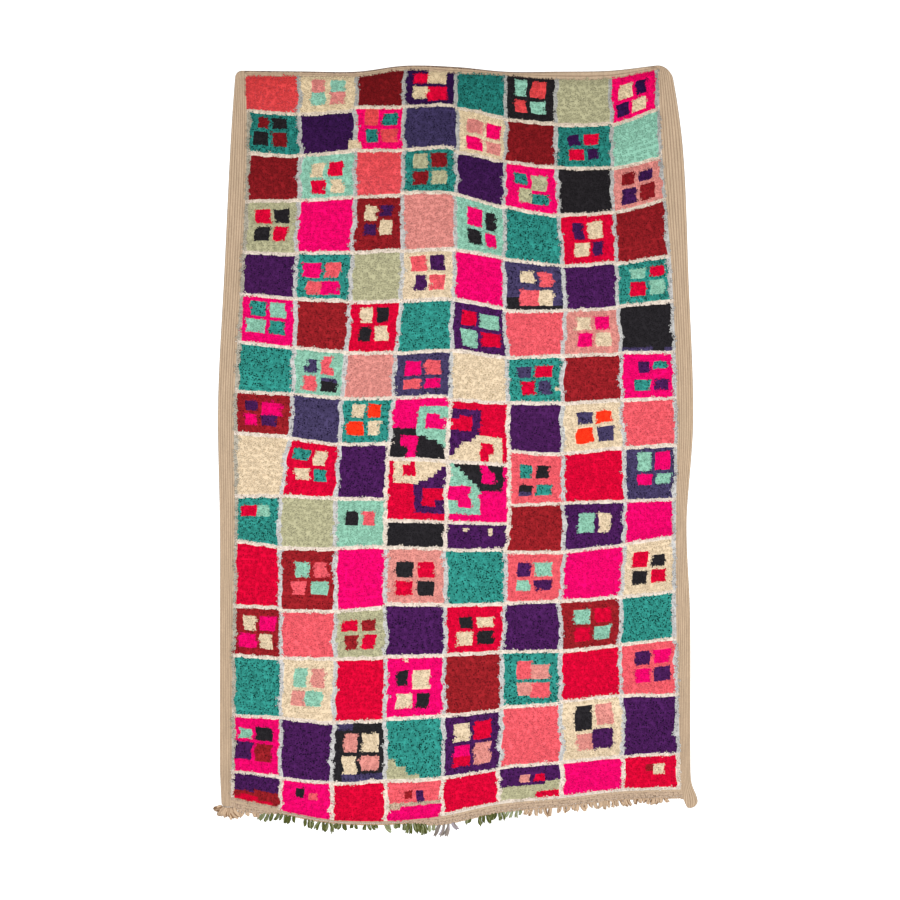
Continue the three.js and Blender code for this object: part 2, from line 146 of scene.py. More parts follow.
# The squares, row by row: the ground yarn, then each window's yarn with its rows and columns of knots
SQUARES = [
    "coral | cream: pink 1-4 3-5, mint 1-4 7-9, mint 5-8 3-5, pink 5-8 7-9 | maroon"
    " | indigo: red 1-3 3-6, cream 0-3 7-11, cream 5-8 3-6, red 5-9 7-11 | teal"
    " | black: mint 1-4 3-5, coral 1-4 7-10, coral 6-8 3-5, mint 6-8 7-10 | sage"
    " | magenta: cream 2-5 3-6, indigo 2-5 8-10, indigo 7-9 2-5, cream 7-9 7-10",
    "teal: maroon 2-4 3-5, black 2-4 7-10, black 6-9 2-5, maroon 6-9 7-10 | indigo: cream 9-11 11-12"
    " | magenta: coral 1-4 3-5, teal 2-4 7-10, teal 6-9 3-5, coral 6-9 7-10, cream 10-11 1 | slate"
    " | cream: pink 3-6 3-7, magenta 3-6 9-12, magenta 8-10 3-7, pink 8-10 9-12 | maroon"
    " | teal: indigo 3-5 4-6, red 3-5 8-11, red 7-9 4-7, indigo 7-9 9-11 | mint",
    "maroon | mint: cream 3-6 3-5, red 3-6 7-9, red 8-11 3-5, cream 8-11 7-9 | coral"
    " | teal: sage 2-5 3-6, maroon 2-5 8-11, maroon 7-10 3-6, sage 7-10 8-11 | indigo"
    " | magenta: teal 3-5 3-5, sage 3-6 7-10, sage 7-10 4-6, teal 8-10 7-10 | black"
    " | pink: maroon 3-6 3-6, indigo 4-6 8-11, indigo 8-11 3-6, maroon 8-11 8-11",
    "sage: red 3-6 3-6, black 3-6 8-11, black 8-11 3-6, red 8-11 8-11 | magenta"
    " | maroon: cream 3-6 3-5, indigo 3-5 7-9, indigo 8-10 3-5, cream 7-10 7-9 | pink"
    " | mint: magenta 3-7 4-7, black 3-7 9-11, black 9-12 4-7, magenta 9-12 9-11 | teal"
    " | red: indigo 3-7 4-6, cream 3-7 8-11, cream 9-12 4-7, indigo 9-12 9-11 | maroon",
    "indigo | teal: magenta 3-6 2-5, coral 3-6 7-9, coral 8-11 3-5, magenta 8-11 6-9 | sage"
    " | cream: coral 2-5 3-6, indigo 2-5 8-11, indigo 7-10 4-6, coral 7-10 8-11 | magenta"
    " | slate: black 10-12 1-3, black 12 4-12, cream 3-5 4-6, coral 3-6 8-10, coral 8-11 4-7, cream 8-11 8-10"
    " | purple | teal: mint 3-5 4-7, red 3-5 9-12, red 7-10 4-7, mint 7-10 9-12",
    "magenta: teal 2-5 3-6, mint 2-5 8-11, mint 7-10 2-6, teal 7-10 8-11 | maroon"
    " | red: cream 2-5 3-5, black 2-5 7-9, black 7-10 3-5, cream 7-10 7-9 | teal"
    " | purple: red 3-6 3-6, mint 3-6 8-12, mint 8-12 3-6, red 8-11 8-12 | coral"
    " | pink: cream 3-6 4-7, magenta 3-6 9-12, magenta 8-11 4-7, cream 8-11 9-12"
    " | black: slate 13 1-8, slate 13 12-13",
    "teal | mint: slate 3-4 4-5, slate 5-6 3-5, coral 2-4 7-8, coral 5-6 7-9, coral 8-11 3-5, slate 8 7-10,"
    " black 9-11 7-10 | pink | slate: magenta 3-6 3-6, coral 3-6 8-11, coral 8-10 3-6, magenta 8-10 8-11"
    " | cream | teal: slate 3-5 3-5, red 3-5 7-10, red 7-10 4-6, slate 7-10 8-10, cream 9 12 | maroon"
    " | magenta: indigo 3-5 5-7, teal 3-4 9-12, teal 8-10 4-7, indigo 8-10 9-12",
    "maroon: indigo 4-6 3-5, magenta 4-7 7-11, magenta 8-10 3-5, indigo 8-10 7-10 | slate"
    " | teal: cream 2-5 3-5, orange 2-5 7-9, orange 7-10 2-5, cream 7-10 7-9 | magenta"
    " | red | indigo | cream: slate 3-5 4-7, orange 3-5 9-12, orange 7-10 4-7, slate 7-10 9-12 | coral",
    "cream | red: teal 3-5 2-5, cream 3-6 7-9, cream 8-10 3-5, teal 8-10 7-9 | purple | red"
    " | magenta | coral: teal 4-7 3-5, black 4-7 7-9, black 10-11 3-5, slate 12 3-5, teal 10-12 7-10 | red"
    " | slate: mint 2-6 4-7, magenta 2-6 9-12, magenta 8-10 4-7, mint 8-10 9-12",
    "teal: red 3-5 2-6, mint 3-5 7-10 | sage | mint: black 4-7 3-5, coral 4-7 7-9 | black"
    " | purple | maroon | purple: mint 4-9 4-7, cream 4-9 9-11 | magenta",
    "red | maroon: mint 4-7 4-6, coral 4-7 8-10, coral 9-11 3-5, mint 9-11 7-10 | magenta"
    " | pink: black 4-7 3-6, red 4-7 8-11, red 9-12 3-6, black 9-12 8-11 | teal"
    " | coral: purple 4-7 3-5, mint 4-7 7-10, mint 9-11 3-5, purple 9-11 7-10 | magenta"
    " | cream: red 3-6 3-6, black 4-6 8-11, black 8-11 3-6, red 8-11 8-11",
    "maroon: cream 3-6 3-6, magenta 3-6 8-12, magenta 8-11 2-6, cream 8-11 8-11 | coral"
    " | sage: red 4-6 2-5, maroon 4-6 7-9, maroon 8-11 3-5, red 8-11 7-9 | purple"
    " | red: black 4-6 4-6, cream 4-6 8-11, cream 8-11 3-6, black 8-11 8-11 | purple"
    " | maroon: mint 3-6 4-7, red 3-6 9-12, red 8-11 4-7, mint 8-11 9-12 | teal",
    "teal | cream: mint 3-7 3-5, pink 3-7 7-9, pink 9-12 3-5, mint 9-12 6-9 | red"
    " | magenta: black 4-7 3-5, cream 4-8 7-10, cream 10-13 3-6, black 10-13 8-10, cream 1 5 | maroon"
    " | teal: coral 3-7 4-6, pink 4-7 7-10, pink 9-12 4-6, coral 9-13 7-10 | red"
    " | coral: indigo 3-6 4-7, magenta 3-6 9-12, magenta 8-11 4-7, indigo 8-11 9-12",
    "magenta: mint 5-7 2-5, black 4-7 7-11, indigo 9-13 1-5, maroon 9-13 7-11 | purple"
    " | black: slate 1-2 1-4, slate 15-16 3-11, pink 4-8 3-5, cream 4-8 7-10,"
    " cream 10-14 3-5, pink 10-13 7-10"
    " | teal: sage 11-12 1-2, sage 13-14 1-4, sage 15 1-5, sage 16 1-8"
    " | purple: cream 3-7 3-6, red 3-7 8-11, magenta 9-11 3-6, red 12-14 3-6, pink 9-14 8-11 | coral"
    " | cream: black 2-7 4-7, pink 2-6 9-12, pink 9-13 4-7, indigo 8-13 8-12 | purple",
    "purple: maroon 7-9 1-13, maroon 6 7-13, red 9 1-11, red 8 3-7"
    " | magenta: black 3-5 4-5, coral 4-5 7-8 | red"
    " | coral: maroon 3-4 5-6, purple 3-5 8-9, beige 6 1-13, magenta 7-9 1-13, beige 7 1-3"
    " | red | purple: pink 3-4 5-6, red 3-4 8-9, sage 6-9 1-12, sage 5 10-12, red 8-9 8-12"
    " | magenta | red: maroon 3-4 6-7, cream 3-5 8-10",
]

# How many tenths of a knot too low each cross line was tied, at the two sides of every square
ASKEW = [
    "0 0, 0 0, -11 -5, -8 -6, 2 0, 4 -4, 0 0, 8 8",
    "-4 0, 0 -4, -5 0, -4 -3, 10 2, -1 -7, -7 2, 7 17",
    "0 0, 0 0, 0 0, -8 -3, 2 3, -3 4, 0 5, 8 3",
    "1 5, 0 -1, 0 -3, 0 0, 2 -8, -6 0, 2 2, 7 7",
    "-5 -5, -4 -4, -1 -1, 0 0, 2 0, 6 6, 5 5, 0 -3",
    "-2 -2, -4 -4, -2 -2, 0 0, -2 -2, -2 -2, 0 0, -4 0",
    "17 8, 6 0, 0 0, -3 -5, 6 -4, -5 -5, -2 -2, 0 0",
    "1 1, 5 3, 0 0, 0 0, 0 0, 1 2, -1 -1, 0 0",
    "0 0, -1 -1, 0 0, 0 0, 0 0, 4 4, 2 2, 0 0",
    "-15 -3, 2 2, 0 -5, -3 -3, 0 0, 6 12, 12 -1, -5 -19",
    "3 2, 10 12, 12 5, -4 -2, 0 0, -2 -7, -5 -4, -4 -4",
    "-2 -2, -3 -3, -1 -1, -4 -4, -3 -3, -3 -3, -2 -2, -2 -2",
    "12 4, 3 9, 6 6, 0 0, 0 3, -5 -11, -16 -17, -14 0",
    "12 1, 5 -2, 0 -9, -10 -4, -5 -2, -5 -10, -10 -7, -6 -5",
]
ASKEW_REACH = 5.0

# The bands and the columns of squares around the hooked medallion
MEDALLION_BANDS = (7, 9, 10)
MEDALLION_COLUMNS = (3, 4, 5)

# The four squares of the hooked medallion, knot by knot, and the letters of their yarns
LETTERS = {"g": "magenta", "r": "red", "m": "mint", "p": "purple", "c": "cream", "k": "black"}
HOOKS_UPPER_LEFT = """
ggggggggggggg ggggggggggggg ggggggmmmmmmm ggggggmmmmmmm
ggggggmmgggmm ggggggmmggggg ggggggmmggggg ggggggmmggggg
kkkkkkmmmmmmm kkkkkkmmmmmmm kkggggkkmmmmm kkggggkkkkkmm
kkggggkkkkkkm kkkkggkkkkkkk kkkkggkkkkkkk kkkkggkkkkkkk"""
HOOKS_UPPER_RIGHT = """
rrrrrrrrrrrrr rrrrrrrrrrrrr ppppppprrrrrr ppppppprrrrrr
pprrrpprrrrrr rrrrrpprrrrrr rrrrrpprrrrrr rrrrrpprrrrrr
ppppppprrrrrr ppppppccccccr pppppcccccccr pppccccrrrccr
ppcccccrrrccr pccccccrrrccr pccccccrrcccr cccccccrrcccr"""
HOOKS_LOWER_LEFT = """
rccccrccccccc rccrrrccccccp rccrrrcccccpp rccrrrccccppp
rccccccccpppp rccccccpppppp rrrrrrppppppp rrrrrrpprrrrr
rrrrrrpprrrrr rrrrrrpprrrrr rrrrrrpprrrpp rrrrrrpprrrpp
rrrrrrppppppp rrrrrrppppppp rrrrrrrrrrrrr rrrrrrrrrrrrr"""
HOOKS_LOWER_RIGHT = """
mkkkkkkggkkkg mmkkkkkggkkkg mmmkkkkgggkkg mmmmkkkgggkkg
mmmmmkkgggkkg mmmmmmkkkkkkg gggggmmkkkkkg gggggmmgggggg
gggggmmgggggg gggggmmgggggg mmgggmmgggggg mmgggmmgggggg
mmmmmmmgggggg mmmmmmmgggggg ggggggggggggg ggggggggggggg"""

# Cream flecks in the short purple square under the medallion: row and column
MEDALLION_FLECKS = [(8, 4), (8, 10), (9, 10)]

# Where the upright lines are white too: the band of squares, the first and the last line
WHITE_UPRIGHTS = [(8, 5, 6), (9, 4, 6), (10, 4, 6), (15, 1, 9)]

# The lowest row of knots: how many columns of squares are beige there, and from which one on it is white
BEIGE_COLUMNS = 1
WHITE_FROM_COLUMN = 4

# Loose ends on the strip under the pile: their rows, as shares of its width, their pitch, stray and size
STRIP_ROWS = (0.3, 0.62, 0.9)
STRIP_PITCH = 0.05
STRIP_MARGIN = 1.02
STRIP_STRAY = 0.4
STRIP_STRAY_DOWN = 0.08
STRIP_SIZES = (0.7, 1.0)
STRIP_SHAPE = (1.0, 1.0, 0.55)

# Groups of locks of the fringe: where they start and end, how many, their length, girth, lean and yarn
TUFTS = [
    (-748, -708, 5, 36, 1.9, -22, 22, "tan"),
    (-690, -660, 3, 15, 1, -10, 12, "tan"),
    (-648, -626, 2, 13, 1, 0, 14, "tan"),
    (-612, -578, 3, 27, 1, -24, 14, "olive"),
    (-570, -510, 5, 22, 1.1, -8, 5, "olive"),
    (-482, -452, 3, 22, 1, 5, 14, "olive"),
    (-438, -392, 4, 23, 1, 0, 20, "olive"),
    (-384, -350, 3, 16, 1.1, -5, 8, "olive"),
    (-334, -314, 2, 12, 1, 0, 16, "olive"),
    (-292, -250, 4, 14, 1, 8, 8, "olive"),
    (-228, -208, 2, 22, 0.8, 24, 8, "pale_green"),
    (-196, -176, 2, 10, 1, 0, 16, "olive"),
    (-168, -92, 7, 26, 1, 12, 2, "olive"),
    (-86, -64, 2, 15, 1.1, 10, 12, "pale_green"),
    (-56, 0, 4, 30, 1, 4, 12, "lilac_grey"),
    (36, 54, 2, 14, 0.9, -24, 12, "olive"),
    (76, 108, 3, 20, 1, 0, 20, "olive"),
    (116, 156, 4, 24, 1, 0, 20, "olive"),
    (164, 216, 4, 16, 1, -6, 6, "pale_green"),
    (224, 312, 6, 19, 1.2, -14, 4, "tan"),
    (330, 452, 9, 15, 1.2, 4, 3, "tan"),
    (460, 560, 8, 18, 1.1, 8, 3, "tan"),
    (572, 682, 8, 13, 1.3, -4, 4, "tan"),
]
FRINGE_GAP = 0.35
BRAID_WIDE = 8.0
BRAID_TO = 9.1
EDGE_STEPS = 1200

# The braid: its cords' radius, the steps along it, and the cords' pitch, sway, height and rise
CORD_RADIUS = 2.0
PLAIT_STEP = 2.2
PLAIT_PITCH = 13.0
PLAIT_SWAY = 1.9
PLAIT_HEIGHT = 3.1
PLAIT_RISE = 1.1
# How much painted shade the cords get, given as a nearness to the tip, and the cords' strand values
PLAIT_TIP = 0.8
PLAIT_STRANDS = (0.4, 0.5)

# A lock of the fringe, and the loose yarns in it
LOCK_UNEVEN = 0.3
LOCK_CURL = 0.4
YARNS_IN_LOCK = 7
YARN_RADIUS = 3.2
YARN_STEPS = 7
YARN_TURN = 0.09
YARN_ASIDE = 2.8
YARN_GATHERS = 0.35
YARN_WAVE = (0.4, 1.4)
YARN_WAVES = 5
YARN_BEND = 0.08
YARN_HEIGHT = (1.8, 5.0)
YARN_SINKS = 0.5
YARN_SHARE = (0.8, 1.08)
YARN_THIN = 0.8
YARN_SWELL = 0.3
YARN_TAPER = 0.5
YARN_TAPER_POWER = 6
# Painted shade: a loose yarn is darkest at the plait, where its nearness to the tip starts at this value
YARN_TIP_FROM = 0.5

# A knot's locks of wool, on an area as wide and as long as a usual knot's
TUFT_KINDS = 10
KNOT_ACROSS = 13.0
KNOT_DOWN = 11.4
FIVE_LOCKS = [(-0.33, 0.22), (0.3, 0.27), (-0.02, 0.0), (-0.3, -0.27), (0.33, -0.22)]
SIX_LOCKS = [(-0.35, 0.25), (0, 0.2), (0.34, 0.27), (-0.33, -0.25), (0.02, -0.3), (0.35, -0.22)]

# A lock: its length, belly and lean, and how much each varies
LOCK_LONG = 9.6
LOCK_BELLY = 3.0
LOCK_LEAN = math.radians(40)
LOCK_LONG_SHARES = (0.86, 1.1)
LOCK_BELLY_SHARES = (0.85, 1.15)
LOCK_LEAN_VARIES = 0.14
LOCK_SIDE_LEAN = 0.22
ROOT_STRAY = 0.9
ROOT_DEPTH = 2.0

# A lock's form: its sides, its belly's place, flatness and painted shade, its tip's droop, its greatest turn
LOCK_SIDES = 3
BELLY_AT = 0.62
BELLY_FLAT = 0.8
BELLY_TIP = 0.75
TIP_DROOP = 0.06
ANY_TURN = 6.28

# How the tufts stand on their knots
TUFT_SCATTER = math.radians(7)
TUFT_SWING = math.radians(22)
COMBED_SWING = math.radians(45)
COMBED_BACK = 5.0
SHORTEST_TUFT = 0.86
LINE_SHORTER = 0.9
SHORT_YARNS = ("side_grey", "edge_grey", "line_cream", "beige")

# Painted shade: how dark a lock is painted at its root, and how much of it the bed between the locks gets
PAINTED_ROOT_SHADE = 0.84
BED_TIP = 0.9
BED_STRANDS = (0.3, 1)

# Where above the rug's middle, in metres, a yarn's lower shade turns into its upper one: painted light
# falloff
PAINTED_FALLOFF_FROM = 0.5
PAINTED_FALLOFF_TO = 1.2

# How far knots stray sideways, in knots: row against row, by chance, in waves along a row, knot by knot
ROW_PULL = 0.1
ROW_CHANCE = 0.1
ROW_WAVE = 0.14
ROW_WAVELENGTHS = (8.0, 19.0)
ROW_TEETH = 0.2

# How far the lengthwise lines wander, and how far knots stray up or down, in knots
LINE_WANDER = 0.11
LINE_WAVELENGTHS = (9.0, 16.0, 34.0)
KNOT_UNEVEN = 0.16


def linear(code):
    """The linear colour of an sRGB hex value."""
    parts = [int(code[n : n + 2], 16) / 255 for n in (1, 3, 5)]
    return [p / 12.92 if p <= 0.04045 else ((p + 0.055) / 1.055) ** 2.4 for p in parts] + [1.0]


def add(tree, kind, settings, links):
    """A node of the tree, with its settings and a value or another node's output at each named socket."""
    node = tree.nodes.new(kind)
    for name, value in settings.items():
        setattr(node, name, value)
    for key, value in links.items():
        if isinstance(value, bpy.types.NodeSocket):
            tree.links.new(value, node.inputs[key])
        else:
            node.inputs[key].default_value = value
    return node


def store(mesh, name, kind, values, domain="POINT"):
    """Keeps a value for every point, or face, of the mesh under a name."""
    field = {"FLOAT": "value", "FLOAT_VECTOR": "vector", "FLOAT_COLOR": "color"}[kind]
    mesh.attributes.new(name, kind, domain).data.foreach_set(field, values)


def mesh_of(name, points, edges, faces):
    """A new mesh of these points, edges and faces."""
    mesh = bpy.data.meshes.new(name)
    mesh.from_pydata(points, edges, faces)
    return mesh


def linked(name, data):
    """A new object in the scene, at the origin."""
    thing = bpy.data.objects.new(name, data)
    scene.collection.objects.link(thing)
    return thing


# The weave: where a place on the loom lies on the floor

def smoothstep(x, low, high):
    """Goes smoothly from 0 at the low value to 1 at the high one."""
    t = np.clip((x - low) / (high - low), 0, 1)
    return t * t * (3 - 2 * t)


def curve(stations, values, at, column):
    """A smooth curve through one column of values at rising stations."""
    last = len(stations) - 1
    order = np.arange(last + 1)
    before = np.maximum(order - 1, 0)
    after = np.minimum(order + 1, last)
    slopes = (values[after] - values[before]) / (stations[after] - stations[before])[:, None]
    x = np.clip(at, stations[0], stations[last])
    k = np.clip(np.searchsorted(stations, x) - 1, 0, last - 1)
    span = stations[k + 1] - stations[k]
    t = (x - stations[k]) / span
    rise = values[k + 1, column] - values[k, column]
    leaving = (slopes[k, column] * span - rise) * (1 - t)
    arriving = (slopes[k + 1, column] * span - rise) * t
    return values[k, column] + rise * t + t * (1 - t) * (leaving - arriving)


def across_rug(across, down):
    """How far to the right a place lies, in millimetres."""
    line = np.clip(np.floor(across).astype(int), 0, LAST_LINE - 1)
    left = curve(SECTION_DOWN, SECTIONS, down, line)
    right = curve(SECTION_DOWN, SECTIONS, down, line + 1)
    return left + (right - left) * (across - line)


def sag_of(across, down):
    """How far the cloth sags at a place, in millimetres."""
    pile = np.stack([curve(SAG_DOWN, SAGS, down, line) for line in range(1, LAST_LINE)])
    over_pile = curve(np.arange(1.0, LAST_LINE), pile, across, np.arange(len(across)))
    outer = curve(SAG_DOWN, SAGS, down, np.where(across < LAST_LINE / 2, 0, LAST_LINE))
    into_band = np.maximum(1 - across, across - (LAST_LINE - 1))
    return over_pile + (outer - over_pile) * smoothstep(into_band, 0, BAND_LEVELS)


def end_strip(across):
    """How wide the strip under the pile is, narrow where the pile hangs over it."""
    hidden = smoothstep(across, HIDDEN_FROM - HIDDEN_FADE, HIDDEN_FROM)
    hidden = hidden - smoothstep(across, HIDDEN_TO, HIDDEN_TO + HIDDEN_FADE)
    return END_STRIP + (END_STRIP_HIDDEN - END_STRIP) * hidden


def drawn_in(radius, distance):
    """How far a rounded corner draws its edge in at a distance from the other edge."""
    on_arc = (1 - math.sqrt(0.5)) * radius
    on_arc = on_arc + (radius - on_arc) * np.clip(distance / radius, 0, 1)
    return radius - np.sqrt(np.maximum(radius**2 - (radius - on_arc) ** 2, 0))


def on_loom(across, down, along_strip=0.0):
    """Plan positions in millimetres of places across the rug and down it, or along its lower strip."""
    across, down, along_strip = (
        np.ascontiguousarray(a, float) for a in np.broadcast_arrays(across, down, along_strip)
    )
    stretched = down + along_strip * END_STRIP
    x = across_rug(across, stretched)
    y = -down - sag_of(across, down) - along_strip * end_strip(across)
    top = -sag_of(across, np.zeros_like(down))
    bottom = -PILE_END - sag_of(across, np.full_like(down, PILE_END)) - end_strip(across)
    rounded_x, rounded_y = x.copy(), y.copy()
    for side, end, radius in CORNERS:
        outer = across_rug(np.full_like(across, 0 if side == "left" else LAST_LINE), stretched)
        from_side = np.abs(x - outer)
        from_end = top - y if end == "top" else y - bottom
        near = (from_side < radius) & (from_end < radius)
        inwards = 1 if side == "left" else -1
        upwards = -1 if end == "top" else 1
        rounded_x += near * inwards * drawn_in(radius, from_end) * (1 - from_side / radius)
        rounded_y += near * upwards * drawn_in(radius, from_side) * (1 - from_end / radius)
    return rounded_x, rounded_y


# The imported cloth's box says where the loom's zero lies in the shared frame
cloth_low, cloth_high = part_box("rug_cloth")
EDGE_PLACES = 900
left_edge = on_loom(np.zeros(EDGE_PLACES), np.linspace(0, PILE_END, EDGE_PLACES))[0]
hem_edge = on_loom(np.linspace(0, LAST_LINE, EDGE_PLACES), np.zeros(EDGE_PLACES))[1]
LOOM_X = cloth_low.x / MM - left_edge.min()
LOOM_Y = cloth_high.y / MM - hem_edge.max()


def placed(x, y, z):
    """Points of the shared frame, in metres, from millimetres on the loom."""
    return np.stack([x + LOOM_X, y + LOOM_Y, z + 0 * x], axis=-1) * MM


# The chart: which yarn each knot is tied with

BAND_STARTS = np.concatenate([[0], np.cumsum(KNOTS_DOWN)])
COLUMN_STARTS = np.concatenate([[0], np.cumsum(KNOTS_ACROSS)])


def centres(lines, counts):
    """Places of the knots: one on each line, the others evenly between, the outermost half a knot inside."""
    places = []
    for n, count in enumerate(counts):
        a, b = lines[n], lines[n + 1]
        half = (b - a) / count / 2
        a = a + half if n == 0 else a
        b = b - half if n == len(counts) - 1 else b
        places.extend(a + (b - a) * i / count for i in range(count))
    places.append(b)
    return np.array(places)


def strayed():
    """Sideways stray of every knot, in knots, so that upright lines get the teeth of hand knotting."""
    dice = np.random.default_rng(17)
    rows, columns = np.arange(BAND_STARTS[-1] + 1), np.arange(COLUMN_STARTS[-1] + 1)
    pull = ROW_PULL * (-1.0) ** rows + dice.normal(0, ROW_CHANCE, len(rows))
    stray = np.repeat(pull[:, None], len(columns), axis=1)
    for wave in ROW_WAVELENGTHS:
        phase = dice.uniform(0, 2 * math.pi, len(rows))
        stray += ROW_WAVE * np.sin(2 * math.pi * columns[None, :] / wave + phase[:, None])
    stray += dice.normal(0, ROW_TEETH, stray.shape)
    wander = np.zeros((len(rows), len(COLUMN_STARTS)))
    for wave in LINE_WAVELENGTHS:
        phase = dice.uniform(0, 2 * math.pi, len(COLUMN_STARTS))
        wander += LINE_WANDER * np.sin(2 * math.pi * rows[:, None] / wave + phase[None, :])
    for row in rows:
        stray[row] += np.interp(columns, COLUMN_STARTS, wander[row])
    return stray


def sunk():
    """How many knots lower than its row each knot lies, near the cross lines that were tied askew."""
    rows = np.arange(BAND_STARTS[-1] + 1)
    low = np.random.default_rng(18).normal(0, KNOT_UNEVEN, (len(rows), COLUMN_STARTS[-1] + 1))
    for line, text in enumerate(ASKEW, 1):
        shift = np.zeros(COLUMN_STARTS[-1] + 1)
        for column, sides in enumerate(text.split(",")):
            left, right = (int(tenths) / 10 for tenths in sides.split())
            tilt = np.linspace(left, right, KNOTS_ACROSS[column])
            shift[COLUMN_STARTS[column] : COLUMN_STARTS[column + 1]] = tilt
        shift[-1] = shift[-2]
        near = smoothstep(ASKEW_REACH - np.abs(rows - BAND_STARTS[line]), 0, ASKEW_REACH)
        low += near[:, None] * shift[None, :]
    return low


KNOT_X = centres(np.arange(1.0, LAST_LINE), KNOTS_ACROSS)
KNOT_Y = centres(ROW_LINES, KNOTS_DOWN)
STRAY = strayed() * np.gradient(KNOT_X)[None, :]
SUNK = sunk() * np.gradient(KNOT_Y)[:, None]


def chart():
    """The yarn of every knot, from the squares' own yarns."""
    knots = np.full((len(KNOT_Y), len(KNOT_X)), "side_grey", dtype=object)
    knots[:, 0] = "edge_grey"
    for band, first, last in WHITE_UPRIGHTS:
        knots[BAND_STARTS[band - 1] : BAND_STARTS[band], COLUMN_STARTS[first - 1 : last]] = "line_cream"
    for n in range(1, len(KNOTS_DOWN)):
        knots[BAND_STARTS[n]] = "line_cream"
    for row, text in enumerate(SQUARES):
        for column, square in enumerate(text.split("|")):
            fill_square(knots, row, column, square)
    knot_medallion(knots)
    knots[: BAND_STARTS[1], 0] = "coral"
    knots[-1] = knots[-2]
    knots[-1, : COLUMN_STARTS[BEIGE_COLUMNS]] = "beige"
    knots[-1, COLUMN_STARTS[WHITE_FROM_COLUMN] :] = "line_cream"
    return knots


def fill_square(knots, row, column, square):
    """A square's ground, and then its windows."""
    ground, _, windows = square.strip().partition(":")
    top, left = BAND_STARTS[row], COLUMN_STARTS[column]
    first_row = top + 1 if row else top
    knots[first_row : BAND_STARTS[row + 1], left + 1 : COLUMN_STARTS[column + 1]] = ground.strip()
    for window in windows.split(",") if windows else []:
        yarn, rows, columns = window.split()
        upper, lower = (int(n) for n in (rows.split("-") * 2)[:2])
        first, last = (int(n) for n in (columns.split("-") * 2)[:2])
        knots[top + upper : top + lower + 1, left + first : left + last + 1] = yarn


def knot_medallion(knots):
    """The four hooked squares in the middle and the short squares under them."""
    first_band, short_band, last_band = MEDALLION_BANDS
    top, bottom = BAND_STARTS[first_band] + 1, BAND_STARTS[last_band]
    left, middle, right = (COLUMN_STARTS[column] for column in MEDALLION_COLUMNS)
    knots[top:bottom, left + 1 : right] = "line_cream"
    for tier in (HOOKS_UPPER_LEFT, HOOKS_UPPER_RIGHT), (HOOKS_LOWER_LEFT, HOOKS_LOWER_RIGHT):
        for first, text in zip((left + 1, middle + 1), tier):
            for n, knotted in enumerate(text.split()):
                knots[top + n, first : first + len(knotted)] = [LETTERS[c] for c in knotted]
        top += len(tier[0].split()) + 1
    knots[top:bottom, left + 1 : middle] = "black"
    knots[top:bottom, middle + 1 : right] = "purple"
    for row, column in MEDALLION_FLECKS:
        knots[BAND_STARTS[short_band] + row, middle + column] = "cream"


KNOTS = chart()


# Yarns and finishes

def new_material(name):
    """A material of this name, with its empty tree."""
    material = bpy.data.materials.new(name)
    material.use_nodes = True
    tree = material.node_tree
    tree.nodes.clear()
    return material, tree


